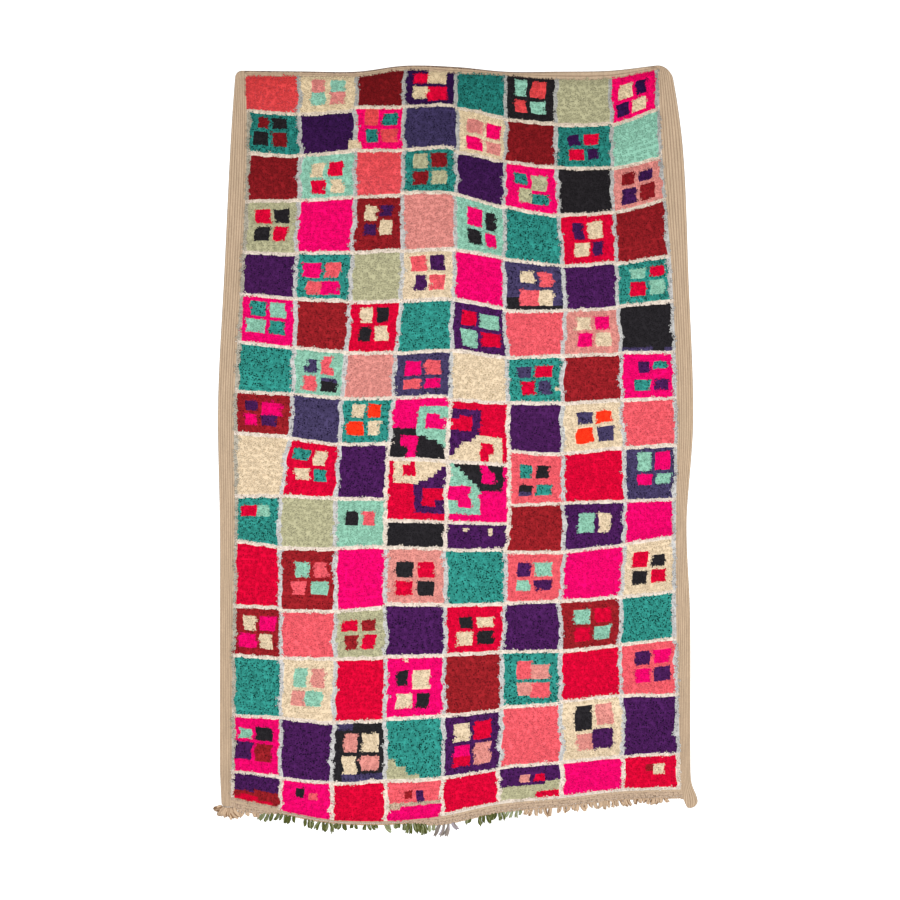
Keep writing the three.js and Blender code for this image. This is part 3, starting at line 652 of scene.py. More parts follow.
def wool(name, upper, lower, fleck, fleck_share, uneven_dye):
    """Hand-spun wool: matt and fibrous, dyed unevenly lock by lock, with painted shade darker down in the
    pile.
    """
    material, tree = new_material(name)
    where = add(tree, "ShaderNodeTexCoord", {}, {}).outputs["Object"]
    along = add(tree, "ShaderNodeSeparateXYZ", {}, {0: where}).outputs["Y"]
    # Painted light: towards the hemmed end the lower shade turns into the upper, mostly darker one, as the
    # light falls off
    share = add(tree, "ShaderNodeMapRange", {},
                {"Value": along, "From Min": PAINTED_FALLOFF_FROM, "From Max": PAINTED_FALLOFF_TO}).outputs["Result"]
    base_colour = add(tree, "ShaderNodeMix", {"data_type": "RGBA"},
               {0: share, 6: linear(lower), 7: linear(upper)}).outputs[2]
    strand = add(tree, "ShaderNodeAttribute", {"attribute_name": "strand"}, {}).outputs["Fac"]
    tuft = add(tree, "ShaderNodeAttribute", {"attribute_name": "tuft"}, {}).outputs["Fac"]
    tip = add(tree, "ShaderNodeAttribute", {"attribute_name": "tip"}, {}).outputs["Fac"]
    both = add(tree, "ShaderNodeMath", {"operation": "ADD"}, {0: strand, 1: tuft}).outputs[0]
    lock = add(tree, "ShaderNodeMath", {"operation": "FRACT"}, {0: both}).outputs[0]
    is_fleck = add(tree, "ShaderNodeMath", {"operation": "LESS_THAN"}, {0: lock, 1: fleck_share}).outputs[0]
    flecked = add(tree, "ShaderNodeMix", {"data_type": "RGBA"},
                  {0: is_fleck, 6: base_colour, 7: linear(fleck)}).outputs[2]
    dye = add(tree, "ShaderNodeMapRange", {},
              {"Value": lock, "To Min": 1.0 - uneven_dye, "To Max": 1.0 + uneven_dye}).outputs["Result"]
    # Painted shade: darker towards the root of each lock, down in the pile
    painted_depth_shade = add(tree, "ShaderNodeMapRange", {},
                {"Value": tip, "To Min": PAINTED_ROOT_SHADE, "To Max": 1.0}).outputs["Result"]
    # Fibres a millimetre across, drawn as 3 mm wisps so that they show
    wisps = add(tree, "ShaderNodeTexNoise", {},
                {"Vector": where, "Scale": 330.0, "Detail": 3.0, "Roughness": 0.6}).outputs["Fac"]
    fibre = add(tree, "ShaderNodeMapRange", {}, {
        "Value": wisps, "From Min": 0.3, "From Max": 0.7, "To Min": 0.9, "To Max": 1.08,
    }).outputs["Result"]
    shade = add(tree, "ShaderNodeMath", {"operation": "MULTIPLY"}, {0: dye, 1: painted_depth_shade}).outputs[0]
    shade = add(tree, "ShaderNodeMath", {"operation": "MULTIPLY"}, {0: shade, 1: fibre}).outputs[0]
    colour = add(tree, "ShaderNodeVectorMath", {"operation": "SCALE"},
                 {0: flecked, "Scale": shade}).outputs[0]
    relief = add(tree, "ShaderNodeBump", {},
                 {"Height": wisps, "Strength": 0.4, "Distance": 0.0008}).outputs["Normal"]
    surface = add(tree, "ShaderNodeBsdfPrincipled", {}, {
        "Base Color": colour, "Roughness": 0.95, "Specular IOR Level": 0.05, "Normal": relief,
        "Sheen Weight": 0.05, "Sheen Roughness": 0.6, "Sheen Tint": linear(upper),
    })
    add(tree, "ShaderNodeOutputMaterial", {}, {"Surface": surface.outputs["BSDF"]})
    return material


# The yarns: name, the shades at the hemmed and at the lower end, the flecks' shade, how many, unevenness
# The change from a yarn's lower shade to its upper one is painted light, falling off towards the hemmed end
WOOLS = {
    "coral": wool("coral wool", "#bf3a3b", "#cb525b", "#b6444e", 0.1, 0.12),
    "maroon": wool("maroon wool", "#641014", "#841a20", "#66121a", 0.12, 0.22),
    "indigo": wool("indigo wool", "#260e38", "#3e1849", "#22102e", 0.12, 0.26),
    "purple": wool("purple wool", "#44184f", "#3d1749", "#241030", 0.16, 0.36),
    "slate": wool("slate wool", "#302848", "#3c3454", "#1e1832", 0.16, 0.34),
    "magenta": wool("magenta wool", "#d00256", "#ce035e", "#b80254", 0.1, 0.12),
    "pink": wool("dusty pink wool", "#be7670", "#c07e76", "#b06e68", 0.1, 0.1),
    # Teal's dark flecks are partly painted shadow, the specks of shade between tufts, and partly uneven dye
    "teal": wool("teal wool", "#1c645d", "#297a71", "#0d3c37", 0.26, 0.4),
    "sage": wool("sage wool", "#9c997a", "#9f9c7d", "#8f8c72", 0.12, 0.1),
    "black": wool("black wool", "#1c191b", "#201e21", "#302c30", 0.12, 0.25),
    "mint": wool("mint wool", "#7caa97", "#7caa96", "#6c9c88", 0.14, 0.14),
    "cream": wool("cream wool", "#c0ae8e", "#c4b297", "#b4a283", 0.08, 0.1),
    "red": wool("red wool", "#c20430", "#bc032d", "#a80328", 0.1, 0.14),
    "orange": wool("orange red wool", "#e03016", "#e03016", "#c42812", 0.08, 0.16),
    "side_grey": wool("silver grey wool", "#94938e", "#acaba9", "#949290", 0.12, 0.12),
    "edge_grey": wool("warm grey wool", "#928c7c", "#a29c8f", "#8c8678", 0.12, 0.12),
    "line_cream": wool("undyed white wool", "#bcae9c", "#c6baae", "#b2a491", 0.1, 0.12),
    "beige": wool("undyed beige wool", "#a9937f", "#a9937f", "#8e7a68", 0.18, 0.2),
}
FRINGE_WOOLS = {
    "tan": wool("tan fringe wool", "#a89078", "#a89078", "#84664c", 0.18, 0.25),
    "olive": wool("olive fringe wool", "#434723", "#434723", "#8f946e", 0.3, 0.55),
    "pale_green": wool("pale green fringe wool", "#747658", "#747658", "#a0ac8c", 0.25, 0.3),
    "lilac_grey": wool("lilac grey fringe wool", "#746b64", "#746b64", "#a298a0", 0.25, 0.3),
}


def woven_band():
    """Undyed wool over thick warp cords: matt beige ribs, thin grooves painted darker as shade, a soiled
    brown seam.
    """
    material, tree = new_material("woven undyed wool")
    weave = add(tree, "ShaderNodeUVMap", {"uv_map": "weave"}, {}).outputs["UV"]
    parts = add(tree, "ShaderNodeSeparateXYZ", {}, {0: weave})
    turned = add(tree, "ShaderNodeMath", {"operation": "FRACT"}, {0: parts.outputs["X"]}).outputs[0]
    from_crest = add(tree, "ShaderNodeMath", {"operation": "SUBTRACT"}, {0: turned, 1: 0.5}).outputs[0]
    from_crest = add(tree, "ShaderNodeMath", {"operation": "ABSOLUTE"}, {0: from_crest}).outputs[0]
    # Painted shade: the grooves between the ribs are painted darker
    painted_groove_shade = add(tree, "ShaderNodeMapRange", {"interpolation_type": "SMOOTHSTEP"},
                 {"Value": from_crest, "From Min": 0.22, "From Max": 0.5}).outputs["Result"]
    where = add(tree, "ShaderNodeTexCoord", {}, {}).outputs["Object"]
    # Dyed and soiled streaks a hand long down each cord
    long_grain = add(tree, "ShaderNodeMapping", {}, {"Vector": where, "Scale": (170.0, 12.0, 170.0)})
    streaks = add(tree, "ShaderNodeTexNoise", {},
                  {"Vector": long_grain.outputs["Vector"], "Scale": 1.0, "Detail": 3.0}).outputs["Fac"]
    # Yarns of the weft, 4 mm apart down the band
    wefts = add(tree, "ShaderNodeTexNoise", {},
                {"Vector": where, "Scale": 260.0, "Detail": 2.0}).outputs["Fac"]
    base = add(tree, "ShaderNodeMix", {"data_type": "RGBA"},
               {0: painted_groove_shade, 6: linear("#a59079"), 7: linear("#86715d")}).outputs[2]
    seam = add(tree, "ShaderNodeAttribute", {"attribute_name": "seam"}, {}).outputs["Fac"]
    patchy = add(tree, "ShaderNodeMapRange", {},
                 {"Value": wefts, "From Min": 0.35, "From Max": 0.6}).outputs["Result"]
    stitched = add(tree, "ShaderNodeMath", {"operation": "MULTIPLY"}, {0: seam, 1: patchy}).outputs[0]
    base = add(tree, "ShaderNodeMix", {"data_type": "RGBA"},
               {0: stitched, 6: base, 7: linear("#4c3228")}).outputs[2]
    tone = add(tree, "ShaderNodeMapRange", {}, {
        "Value": streaks, "From Min": 0.3, "From Max": 0.7, "To Min": 0.88, "To Max": 1.1,
    }).outputs["Result"]
    speck = add(tree, "ShaderNodeMapRange", {}, {
        "Value": wefts, "From Min": 0.3, "From Max": 0.7, "To Min": 0.9, "To Max": 1.08,
    }).outputs["Result"]
    tone = add(tree, "ShaderNodeMath", {"operation": "MULTIPLY"}, {0: tone, 1: speck}).outputs[0]
    colour = add(tree, "ShaderNodeVectorMath", {"operation": "SCALE"}, {0: base, "Scale": tone}).outputs[0]
    relief = add(tree, "ShaderNodeBump", {},
                 {"Height": wefts, "Strength": 0.6, "Distance": 0.001}).outputs["Normal"]
    surface = add(tree, "ShaderNodeBsdfPrincipled", {}, {
        "Base Color": colour, "Roughness": 0.9, "Specular IOR Level": 0.1, "Normal": relief,
        "Sheen Weight": 0.05, "Sheen Roughness": 0.5,
    })
    add(tree, "ShaderNodeOutputMaterial", {}, {"Surface": surface.outputs["BSDF"]})
    return material


def knot_backs():
    """The backs of the knots: flat bars of dyed wool in rows, with the undyed weft between them."""
    material, tree = new_material("backs of wool knots")
    weave = add(tree, "ShaderNodeUVMap", {"uv_map": "weave"}, {}).outputs["UV"]
    parts = add(tree, "ShaderNodeSeparateXYZ", {}, {0: weave})
    heights = []
    for axis, repeats in (("X", 2.0), ("Y", 1.0)):
        turns = add(tree, "ShaderNodeMath", {"operation": "MULTIPLY"},
                    {0: parts.outputs[axis], 1: repeats * math.pi}).outputs[0]
        wave = add(tree, "ShaderNodeMath", {"operation": "SINE"}, {0: turns}).outputs[0]
        heights.append(add(tree, "ShaderNodeMath", {"operation": "ABSOLUTE"}, {0: wave}).outputs[0])
    height = add(tree, "ShaderNodeMath", {"operation": "MULTIPLY"}, {0: heights[0], 1: heights[1]}).outputs[0]
    on_knot = add(tree, "ShaderNodeMapRange", {},
                  {"Value": height, "From Min": 0.1, "From Max": 0.4}).outputs["Result"]
    base_colour = add(tree, "ShaderNodeAttribute", {"attribute_name": "yarn"}, {}).outputs["Color"]
    colour = add(tree, "ShaderNodeMix", {"data_type": "RGBA"},
                 {0: on_knot, 6: linear("#8c7860"), 7: base_colour}).outputs[2]
    relief = add(tree, "ShaderNodeBump", {},
                 {"Height": height, "Strength": 0.8, "Distance": 0.002}).outputs["Normal"]
    surface = add(tree, "ShaderNodeBsdfPrincipled", {}, {
        "Base Color": colour, "Roughness": 0.95, "Specular IOR Level": 0.15, "Normal": relief,
    })
    add(tree, "ShaderNodeOutputMaterial", {}, {"Surface": surface.outputs["BSDF"]})
    return material


BAND_WOOL = woven_band()
KNOT_BACKS = knot_backs()


# The woven cloth, with the beds of the knots on its face and their backs below

def between(places, low, high):
    """The places halfway between these, and the two ends."""
    return np.concatenate([[low], (places[1:] + places[:-1]) / 2, [high]])


def seam_at(across, down, x, y):
    """How brown the cloth is: the turned edge of the hem where it is sewn, and a few marks."""
    sewn = smoothstep(across, *SEAM_FADES_IN) * (1 - smoothstep(across, *SEAM_FADES_OUT))
    sewn = sewn * (down < SEAM_DOWN)
    for mark_x, mark_y, radius in MARKS:
        sewn = np.maximum(sewn, np.hypot(x - mark_x, y - mark_y) < radius)
    return sewn.astype(float)


def woven_cloth():
    """One closed cloth: ribbed side bands, a rolled hem and end strip, and the bed of the pile."""
    ribs = np.linspace(0, 1, BAND_RIBS * RIB_STEPS + 1)
    columns = between(KNOT_X, 1.0, LAST_LINE - 1.0)
    across = np.concatenate([ribs[:-1], columns, LAST_LINE - ribs[::-1][1:]])
    rib = np.concatenate([ribs[:-1] * BAND_RIBS, np.arange(len(columns)) + 0.0, ribs[::-1][1:] * BAND_RIBS])
    hem = np.linspace(0, PILE_START, HEM_STEPS + 1)[:-1]
    rows = between(KNOT_Y, PILE_START, PILE_END)
    strip = np.linspace(0, 1, STRIP_STEPS + 1)[1:]
    down = np.concatenate([hem, rows, np.full(len(strip), PILE_END)])
    along = np.concatenate([np.zeros(len(hem) + len(rows)), strip])
    wide, long = len(across), len(down)
    grid_across, grid_down = np.meshgrid(across, down)
    grid_along = np.repeat(along[:, None], wide, axis=1)
    first_column, last_column = len(ribs) - 1, len(ribs) - 1 + len(columns) - 1
    first_row, last_row = len(hem), len(hem) + len(rows) - 1
    for grid, moved in ((grid_across, STRAY), (grid_down, SUNK)):
        corners = (moved[1:, 1:] + moved[:-1, 1:] + moved[1:, :-1] + moved[:-1, :-1]) / 4
        grid[first_row + 1 : last_row, first_column + 1 : last_column] += corners
    x, y = on_loom(grid_across.ravel(), grid_down.ravel(), grid_along.ravel())

    i, j = np.meshgrid(np.arange(wide), np.arange(long))
    height = np.full((long, wide), GROUND_THICK)
    in_band = (i < first_column) | (i > last_column)
    crest = np.abs(np.sin(np.pi * rib))[None, :] ** RIB_ROUNDNESS
    height = np.where(in_band, GROUND_THICK - RIB_HEIGHT / 2 + RIB_HEIGHT * crest, height)
    roll = np.abs(np.sin(np.pi * np.minimum(down / PILE_START, 1))) * (down < PILE_START)
    roll = np.maximum(roll, np.abs(np.sin(STRIP_RIDGES * np.pi * along)))
    in_end = ((j < first_row) | (j > last_row)) & ~in_band
    height = np.where(in_end, GROUND_THICK - HEM_ROLL / 2 + HEM_ROLL * roll[:, None], height)
    in_bed = (i > first_column) & (i < last_column) & (j > first_row) & (j < last_row)
    dice = np.random.default_rng(5)
    lumps = BED_LUMP * dice.uniform(-1, 1, (long, wide))
    height = np.where(in_bed, BED_HEIGHT + lumps, height)
    on_rim = (i == 0) | (j == 0) | (i == wide - 1) | (j == long - 1)
    height = np.where(on_rim, RIM_THICK, height)

    top = placed(x, y, height.ravel())
    under = placed(x, y, np.zeros(wide * long))
    cell_i, cell_j = (a.ravel() for a in np.meshgrid(np.arange(wide - 1), np.arange(long - 1)))
    corner = cell_j * wide + cell_i
    face = np.stack([corner, corner + wide, corner + wide + 1, corner + 1], axis=1)
    back = face[:, ::-1] + wide * long
    rim = np.concatenate([
        np.arange(long - 1) * wide,
        (long - 1) * wide + np.arange(wide - 1),
        np.arange(long - 1, 0, -1) * wide + wide - 1,
        np.arange(wide - 1, 0, -1),
    ])
    after = np.roll(rim, -1)
    wall = np.stack([rim + wide * long, after + wide * long, after, rim], axis=1)
    faces = np.concatenate([face, back, wall])

    mesh = mesh_of("ground_cloth", np.concatenate([top, under]).tolist(), [], faces.tolist())
    for material in [BAND_WOOL, KNOT_BACKS, *WOOLS.values()]:
        mesh.materials.append(material)
    yarns = list(WOOLS)
    in_pile = (cell_i >= first_column) & (cell_i < last_column)
    in_pile = in_pile & (cell_j >= first_row) & (cell_j < last_row)
    tied = np.zeros(len(face), int)
    tied[in_pile] = [
        yarns.index(KNOTS[b, a])
        for a, b in zip(cell_i[in_pile] - first_column, cell_j[in_pile] - first_row)
    ]
    slots = np.concatenate([
        np.where(in_pile, tied + 2, 0), np.where(in_pile, 1, 0), np.zeros(len(wall), int)
    ])
    mesh.polygons.foreach_set("material_index", slots.astype(np.int32))
    base_colour = np.ones((len(faces), 4))
    base_colour[len(face) : 2 * len(face)] = np.array([linear(YARN_BACKS[yarn]) for yarn in yarns])[tied]
    store(mesh, "yarn", "FLOAT_COLOR", base_colour.ravel(), "FACE")
    turns = np.concatenate([rib[:first_column], np.arange(len(columns)), rib[last_column + 1 :]])
    ridges = HEM_RIDGES * np.minimum(down / PILE_START, 1) + STRIP_RIDGES * along
    u = np.where(in_end, ridges[:, None], turns[None, :]).ravel()
    v = np.repeat(np.arange(long) - first_row, wide)
    uv = np.stack([np.concatenate([u, u]), np.concatenate([v, v])], axis=1)
    mesh.uv_layers.new(name="weave").data.foreach_set("uv", uv[faces.ravel()].ravel())
    store(mesh, "strand", "FLOAT", dice.uniform(*BED_STRANDS, len(mesh.vertices)))
    store(mesh, "tip", "FLOAT", np.full(len(mesh.vertices), BED_TIP))
    seam = seam_at(grid_across.ravel(), grid_down.ravel(), x, y)
    store(mesh, "seam", "FLOAT", np.concatenate([seam, 0 * seam]))
    mesh.update()
    mesh.validate()
    mesh.shade_smooth()
    return linked("ground_cloth", mesh)


# The yarns' shades on the back of the cloth
YARN_BACKS = {
    "coral": "#d84c4c", "maroon": "#7a161c", "indigo": "#3a1848", "purple": "#4a1e58",
    "slate": "#3c3358", "magenta": "#e80a68", "pink": "#d88c84", "teal": "#2c8478",
    "sage": "#aeaa88", "black": "#242023", "mint": "#8cc4ac", "cream": "#e0d0b4",
    "red": "#d80c3c", "orange": "#e83c1c", "side_grey": "#b4b5b2", "edge_grey": "#a8a494",
    "line_cream": "#ded4c4", "beige": "#b09a80",
}
cloth = woven_cloth()


# The pile: one tuft of a few leaning locks for every knot

def lock_shape(root, ahead, twist, length, belly):
    """Points and faces of one leaning lock, and how near each point is to the tip."""
    ahead = ahead / np.linalg.norm(ahead)
    side = np.array([1.0, 0, 0]) - ahead[0] * ahead
    side = side / np.linalg.norm(side)
    up = np.cross(ahead, side)
    points, nearness = [root], [0.0]
    for n in range(LOCK_SIDES):
        angle = twist + n * 2 * math.pi / LOCK_SIDES
        out = side * math.cos(angle) + BELLY_FLAT * up * math.sin(angle)
        points.append(root + ahead * length * BELLY_AT + belly * out)
        nearness.append(BELLY_TIP)
    points.append(root + ahead * length + np.array([0, 0, -TIP_DROOP * length]))
    nearness.append(1.0)
    faces = []
    for n in range(LOCK_SIDES):
        a, b = 1 + n, 1 + (n + 1) % LOCK_SIDES
        faces += [(0, b, a), (a, b, LOCK_SIDES + 1)]
    return points, faces, nearness


def tuft_kinds():
    """A few different tufts, each the leaning locks of one knot, kept out of the scene."""
    dice = np.random.default_rng(21)
    kinds = bpy.data.collections.new("tuft_kinds")
    for kind in range(TUFT_KINDS):
        points, faces, nearness, strands = [], [], [], []
        for across, down in SIX_LOCKS if kind % 2 else FIVE_LOCKS:
            root = np.array([
                KNOT_ACROSS * across + dice.uniform(-ROOT_STRAY, ROOT_STRAY),
                KNOT_DOWN * down + dice.uniform(-ROOT_STRAY, ROOT_STRAY),
                -ROOT_DEPTH,
            ])
            lean = LOCK_LEAN + dice.normal(0, LOCK_LEAN_VARIES)
            ahead = np.array([dice.normal(0, LOCK_SIDE_LEAN), -math.sin(lean), math.cos(lean)])
            length = LOCK_LONG * dice.uniform(*LOCK_LONG_SHARES)
            belly = LOCK_BELLY * dice.uniform(*LOCK_BELLY_SHARES)
            made, shape, near = lock_shape(root, ahead, dice.uniform(0, ANY_TURN), length, belly)
            faces += [tuple(n + len(points) for n in f) for f in shape]
            points += made
            nearness += near
            strands += [dice.uniform(0, 1)] * len(made)
        mesh = mesh_of(f"tuft_{kind}", (np.array(points) * MM).tolist(), [], faces)
        store(mesh, "tip", "FLOAT", nearness)
        store(mesh, "strand", "FLOAT", strands)
        kinds.objects.link(bpy.data.objects.new(f"tuft_{kind}", mesh))
    return kinds


def new_tree(name, sockets):
    """A Geometry Nodes tree with named inputs. Returns it with its input node."""
    tree = bpy.data.node_groups.new(name, "GeometryNodeTree")
    tree.interface.new_socket("Geometry", in_out="INPUT", socket_type="NodeSocketGeometry")
    for label, kind in sockets:
        tree.interface.new_socket(label, in_out="INPUT", socket_type=kind)
    tree.interface.new_socket("Geometry", in_out="OUTPUT", socket_type="NodeSocketGeometry")
    return tree, add(tree, "NodeGroupInput", {}, {}).outputs


def pile_tree():
    """Stands a tuft on every knot, leaning to the rug's lower end and combed to either side."""
    tree, given = new_tree("knotted pile", [
        ("Tufts", "NodeSocketCollection"), ("Kinds", "NodeSocketInt"), ("Lean scatter", "NodeSocketFloat"),
        ("Swing", "NodeSocketFloat"), ("Combed swing", "NodeSocketFloat"),
        ("Shortest", "NodeSocketFloat"), ("Seed", "NodeSocketInt"), ("Wool", "NodeSocketMaterial"),
    ])
    back = add(tree, "ShaderNodeMath", {"operation": "MULTIPLY"},
               {0: given["Lean scatter"], 1: -1.0}).outputs[0]
    lean = add(tree, "FunctionNodeRandomValue", {"data_type": "FLOAT"},
               {2: back, 3: given["Lean scatter"], "Seed": given["Seed"]}).outputs[1]
    other_way = add(tree, "ShaderNodeMath", {"operation": "MULTIPLY"},
                    {0: given["Swing"], 1: -1.0}).outputs[0]
    next_seed = add(tree, "ShaderNodeMath", {"operation": "ADD"}, {0: given["Seed"], 1: 100.0}).outputs[0]
    swing = add(tree, "FunctionNodeRandomValue", {"data_type": "FLOAT"},
                {2: other_way, 3: given["Swing"], "Seed": next_seed}).outputs[1]
    where = add(tree, "GeometryNodeInputPosition", {}, {}).outputs[0]
    # The pile is combed this way and that over hand-sized patches
    combed = add(tree, "ShaderNodeTexNoise", {},
                 {"Vector": where, "Scale": 9.0, "Detail": 1.0}).outputs["Fac"]
    combed = add(tree, "ShaderNodeMapRange", {}, {
        "Value": combed, "From Min": 0.3, "From Max": 0.7, "To Min": -1.0, "To Max": 1.0,
    }).outputs["Result"]
    combed = add(tree, "ShaderNodeMath", {"operation": "MULTIPLY"},
                 {0: combed, 1: given["Combed swing"]}).outputs[0]
    swing = add(tree, "ShaderNodeMath", {"operation": "ADD"}, {0: swing, 1: combed}).outputs[0]
    turned = add(tree, "ShaderNodeCombineXYZ", {}, {"X": lean, "Z": swing}).outputs[0]
    size = add(tree, "GeometryNodeInputNamedAttribute", {"data_type": "FLOAT_VECTOR"},
               {"Name": "size"}).outputs[0]
    tall = add(tree, "FunctionNodeRandomValue", {"data_type": "FLOAT"},
               {2: given["Shortest"], 3: 1.0, "Seed": given["Seed"]}).outputs[1]
    stretch = add(tree, "ShaderNodeCombineXYZ", {}, {"X": 1.0, "Y": 1.0, "Z": tall}).outputs[0]
    scaled = add(tree, "ShaderNodeVectorMath", {"operation": "MULTIPLY"}, {0: size, 1: stretch}).outputs[0]
    last = add(tree, "ShaderNodeMath", {"operation": "SUBTRACT"}, {0: given["Kinds"], 1: 1.0}).outputs[0]
    pick = add(tree, "FunctionNodeRandomValue", {"data_type": "INT"},
               {4: 0, 5: last, "Seed": given["Seed"]}).outputs[2]
    kinds = add(tree, "GeometryNodeCollectionInfo", {},
                {"Collection": given["Tufts"], "Separate Children": True, "Reset Children": True})
    stood = add(tree, "GeometryNodeInstanceOnPoints", {}, {
        "Points": given["Geometry"], "Instance": kinds.outputs[0], "Pick Instance": True,
        "Instance Index": pick, "Rotation": turned, "Scale": scaled,
    }).outputs[0]
    chance = add(tree, "FunctionNodeRandomValue", {"data_type": "FLOAT"}, {"Seed": next_seed}).outputs[1]
    marked = add(tree, "GeometryNodeStoreNamedAttribute", {"data_type": "FLOAT", "domain": "INSTANCE"},
                 {"Geometry": stood, "Name": "tuft", "Value": chance}).outputs[0]
    real = add(tree, "GeometryNodeRealizeInstances", {}, {"Geometry": marked}).outputs[0]
    done = add(tree, "GeometryNodeSetMaterial", {}, {"Geometry": real, "Material": given["Wool"]}).outputs[0]
    add(tree, "NodeGroupOutput", {}, {"Geometry": done})
    return tree


def grown(name, start, tree, values):
    """Runs the tree over the starting mesh and keeps the result as a plain mesh."""
    holder = linked("start_" + name, start)
    growth = holder.modifiers.new("growth", "NODES")
    growth.node_group = tree
    for item in tree.interface.items_tree:
        if item.in_out == "INPUT" and item.name in values:
            growth[item.identifier] = values[item.name]
    depsgraph = bpy.context.evaluated_depsgraph_get()
    grew = holder.evaluated_get(depsgraph)
    mesh = bpy.data.meshes.new_from_object(grew, preserve_all_data_layers=True, depsgraph=depsgraph)
    holder.modifiers.remove(growth)
    bpy.data.objects.remove(holder)
    bpy.data.meshes.remove(start)
    mesh.name = name
    return linked(name, mesh)


def knot_points(yarn):
    """A mesh of loose points, one at the root of each knot of a yarn, with the size of its tuft."""
    row, column = np.nonzero(KNOTS == yarn)
    at = KNOT_X[column] + STRAY[row, column]
    down = KNOT_Y[row] + SUNK[row, column]
    x, y = on_loom(at, down)
    step = 0.02
    left, _ = on_loom(at - step, down)
    right, _ = on_loom(at + step, down)
    wide = (right - left) / (2 * step) * np.gradient(KNOT_X)[column]
    high = np.gradient(KNOT_Y)[row]
    mesh = mesh_of("roots_" + yarn, placed(x, y + COMBED_BACK, BED_HEIGHT).tolist(), [], [])
    tall = np.full(len(row), LINE_SHORTER if yarn in SHORT_YARNS else 1.0)
    size = np.stack([wide / KNOT_ACROSS, high / KNOT_DOWN, tall], axis=1)
    store(mesh, "size", "FLOAT_VECTOR", size.ravel())
    return mesh


def strip_points():
    """Roots of the short loose ends on the woven strip under the pile, in a few rows where it shows."""
    dice = np.random.default_rng(31)
    across = np.arange(STRIP_MARGIN, LAST_LINE - STRIP_MARGIN, STRIP_PITCH)
    across = across[(across < HIDDEN_FROM) | (across > HIDDEN_TO)]
    count = len(across)
    places, sizes = [], []
    for along in STRIP_ROWS:
        at = across + dice.uniform(-STRIP_STRAY, STRIP_STRAY, count) * STRIP_PITCH
        down_strip = along + dice.uniform(-STRIP_STRAY_DOWN, STRIP_STRAY_DOWN, count)
        x, y = on_loom(at, np.full(count, PILE_END), down_strip)
        places.append(placed(x, y, GROUND_THICK))
        sizes.append(dice.uniform(*STRIP_SIZES, (count, 3)) * STRIP_SHAPE)
    mesh = mesh_of("roots_strip", np.concatenate(places).tolist(), [], [])
    store(mesh, "size", "FLOAT_VECTOR", np.concatenate(sizes).ravel())
    return mesh


tuft_collection = tuft_kinds()
knotting = pile_tree()
any_tuft = {"Tufts": tuft_collection, "Kinds": TUFT_KINDS, "Lean scatter": TUFT_SCATTER}
pile = []
for n, (yarn, material) in enumerate(WOOLS.items()):
    pile.append(grown("pile_" + yarn, knot_points(yarn), knotting, {
        **any_tuft, "Swing": TUFT_SWING, "Combed swing": COMBED_SWING,
        "Shortest": SHORTEST_TUFT, "Seed": n, "Wool": material,
    }))
pile.append(grown("strip_ends", strip_points(), knotting, {
    **any_tuft, "Swing": 0.5, "Combed swing": 0.2, "Shortest": 0.7, "Seed": 90, "Wool": WOOLS["beige"],
}))
for kind in list(tuft_collection.objects):
    bpy.data.objects.remove(kind)
bpy.data.collections.remove(tuft_collection)


# The fringe: a plaited edge and its tufts of loose yarn

def strand_tree():
    """Turns runs of points into round yarn, thick and thin as each point's radius says."""
    tree, given = new_tree("loose yarn", [("Sides", "NodeSocketInt"), ("Wool", "NodeSocketMaterial")])
    runs = add(tree, "GeometryNodeMeshToCurve", {}, {"Mesh": given["Geometry"]}).outputs[0]
    radius = add(tree, "GeometryNodeInputNamedAttribute", {"data_type": "FLOAT"},
                 {"Name": "girth"}).outputs[0]
    thick = add(tree, "GeometryNodeSetCurveRadius", {}, {"Curve": runs, "Radius": radius}).outputs[0]
    round_yarn = add(tree, "GeometryNodeCurvePrimitiveCircle", {},
                     {"Resolution": given["Sides"], "Radius": 1.0}).outputs[0]
    yarn = add(tree, "GeometryNodeCurveToMesh", {},
               {"Curve": thick, "Profile Curve": round_yarn, "Scale": radius, "Fill Caps": True}).outputs[0]
    real = add(tree, "GeometryNodeRealizeInstances", {}, {"Geometry": yarn}).outputs[0]
    done = add(tree, "GeometryNodeSetMaterial", {}, {"Geometry": real, "Material": given["Wool"]}).outputs[0]
    add(tree, "NodeGroupOutput", {}, {"Geometry": done})
    return tree


def runs_mesh(name, runs):
    """Runs of points as loose edges, with the girth, tip and strand values of each point."""
    points, edges, girth, tip, strand = [], [], [], [], []
    for run in runs:
        first = len(points)
        points += [p for p, _, _, _ in run]
        girth += [g for _, g, _, _ in run]
        tip += [t for _, _, t, _ in run]
        strand += [s for _, _, _, s in run]
        edges += [(n, n + 1) for n in range(first, len(points) - 1)]
    mesh = mesh_of(name, points, edges, [])
    for label, values in (("girth", girth), ("tip", tip), ("strand", strand)):
        store(mesh, label, "FLOAT", values)
    return mesh


def uneven(i, j):
    """A number from 0 to 1 that looks random, the same for the same lock as in the solid."""
    n = math.sin(i * 12.9898 + j * 78.233) * 43758.5453
    return n - math.floor(n)


edge_across = np.linspace(0, BRAID_TO, EDGE_STEPS)
LOWER_X, LOWER_Y = on_loom(edge_across, np.full(EDGE_STEPS, PILE_END), np.ones(EDGE_STEPS))


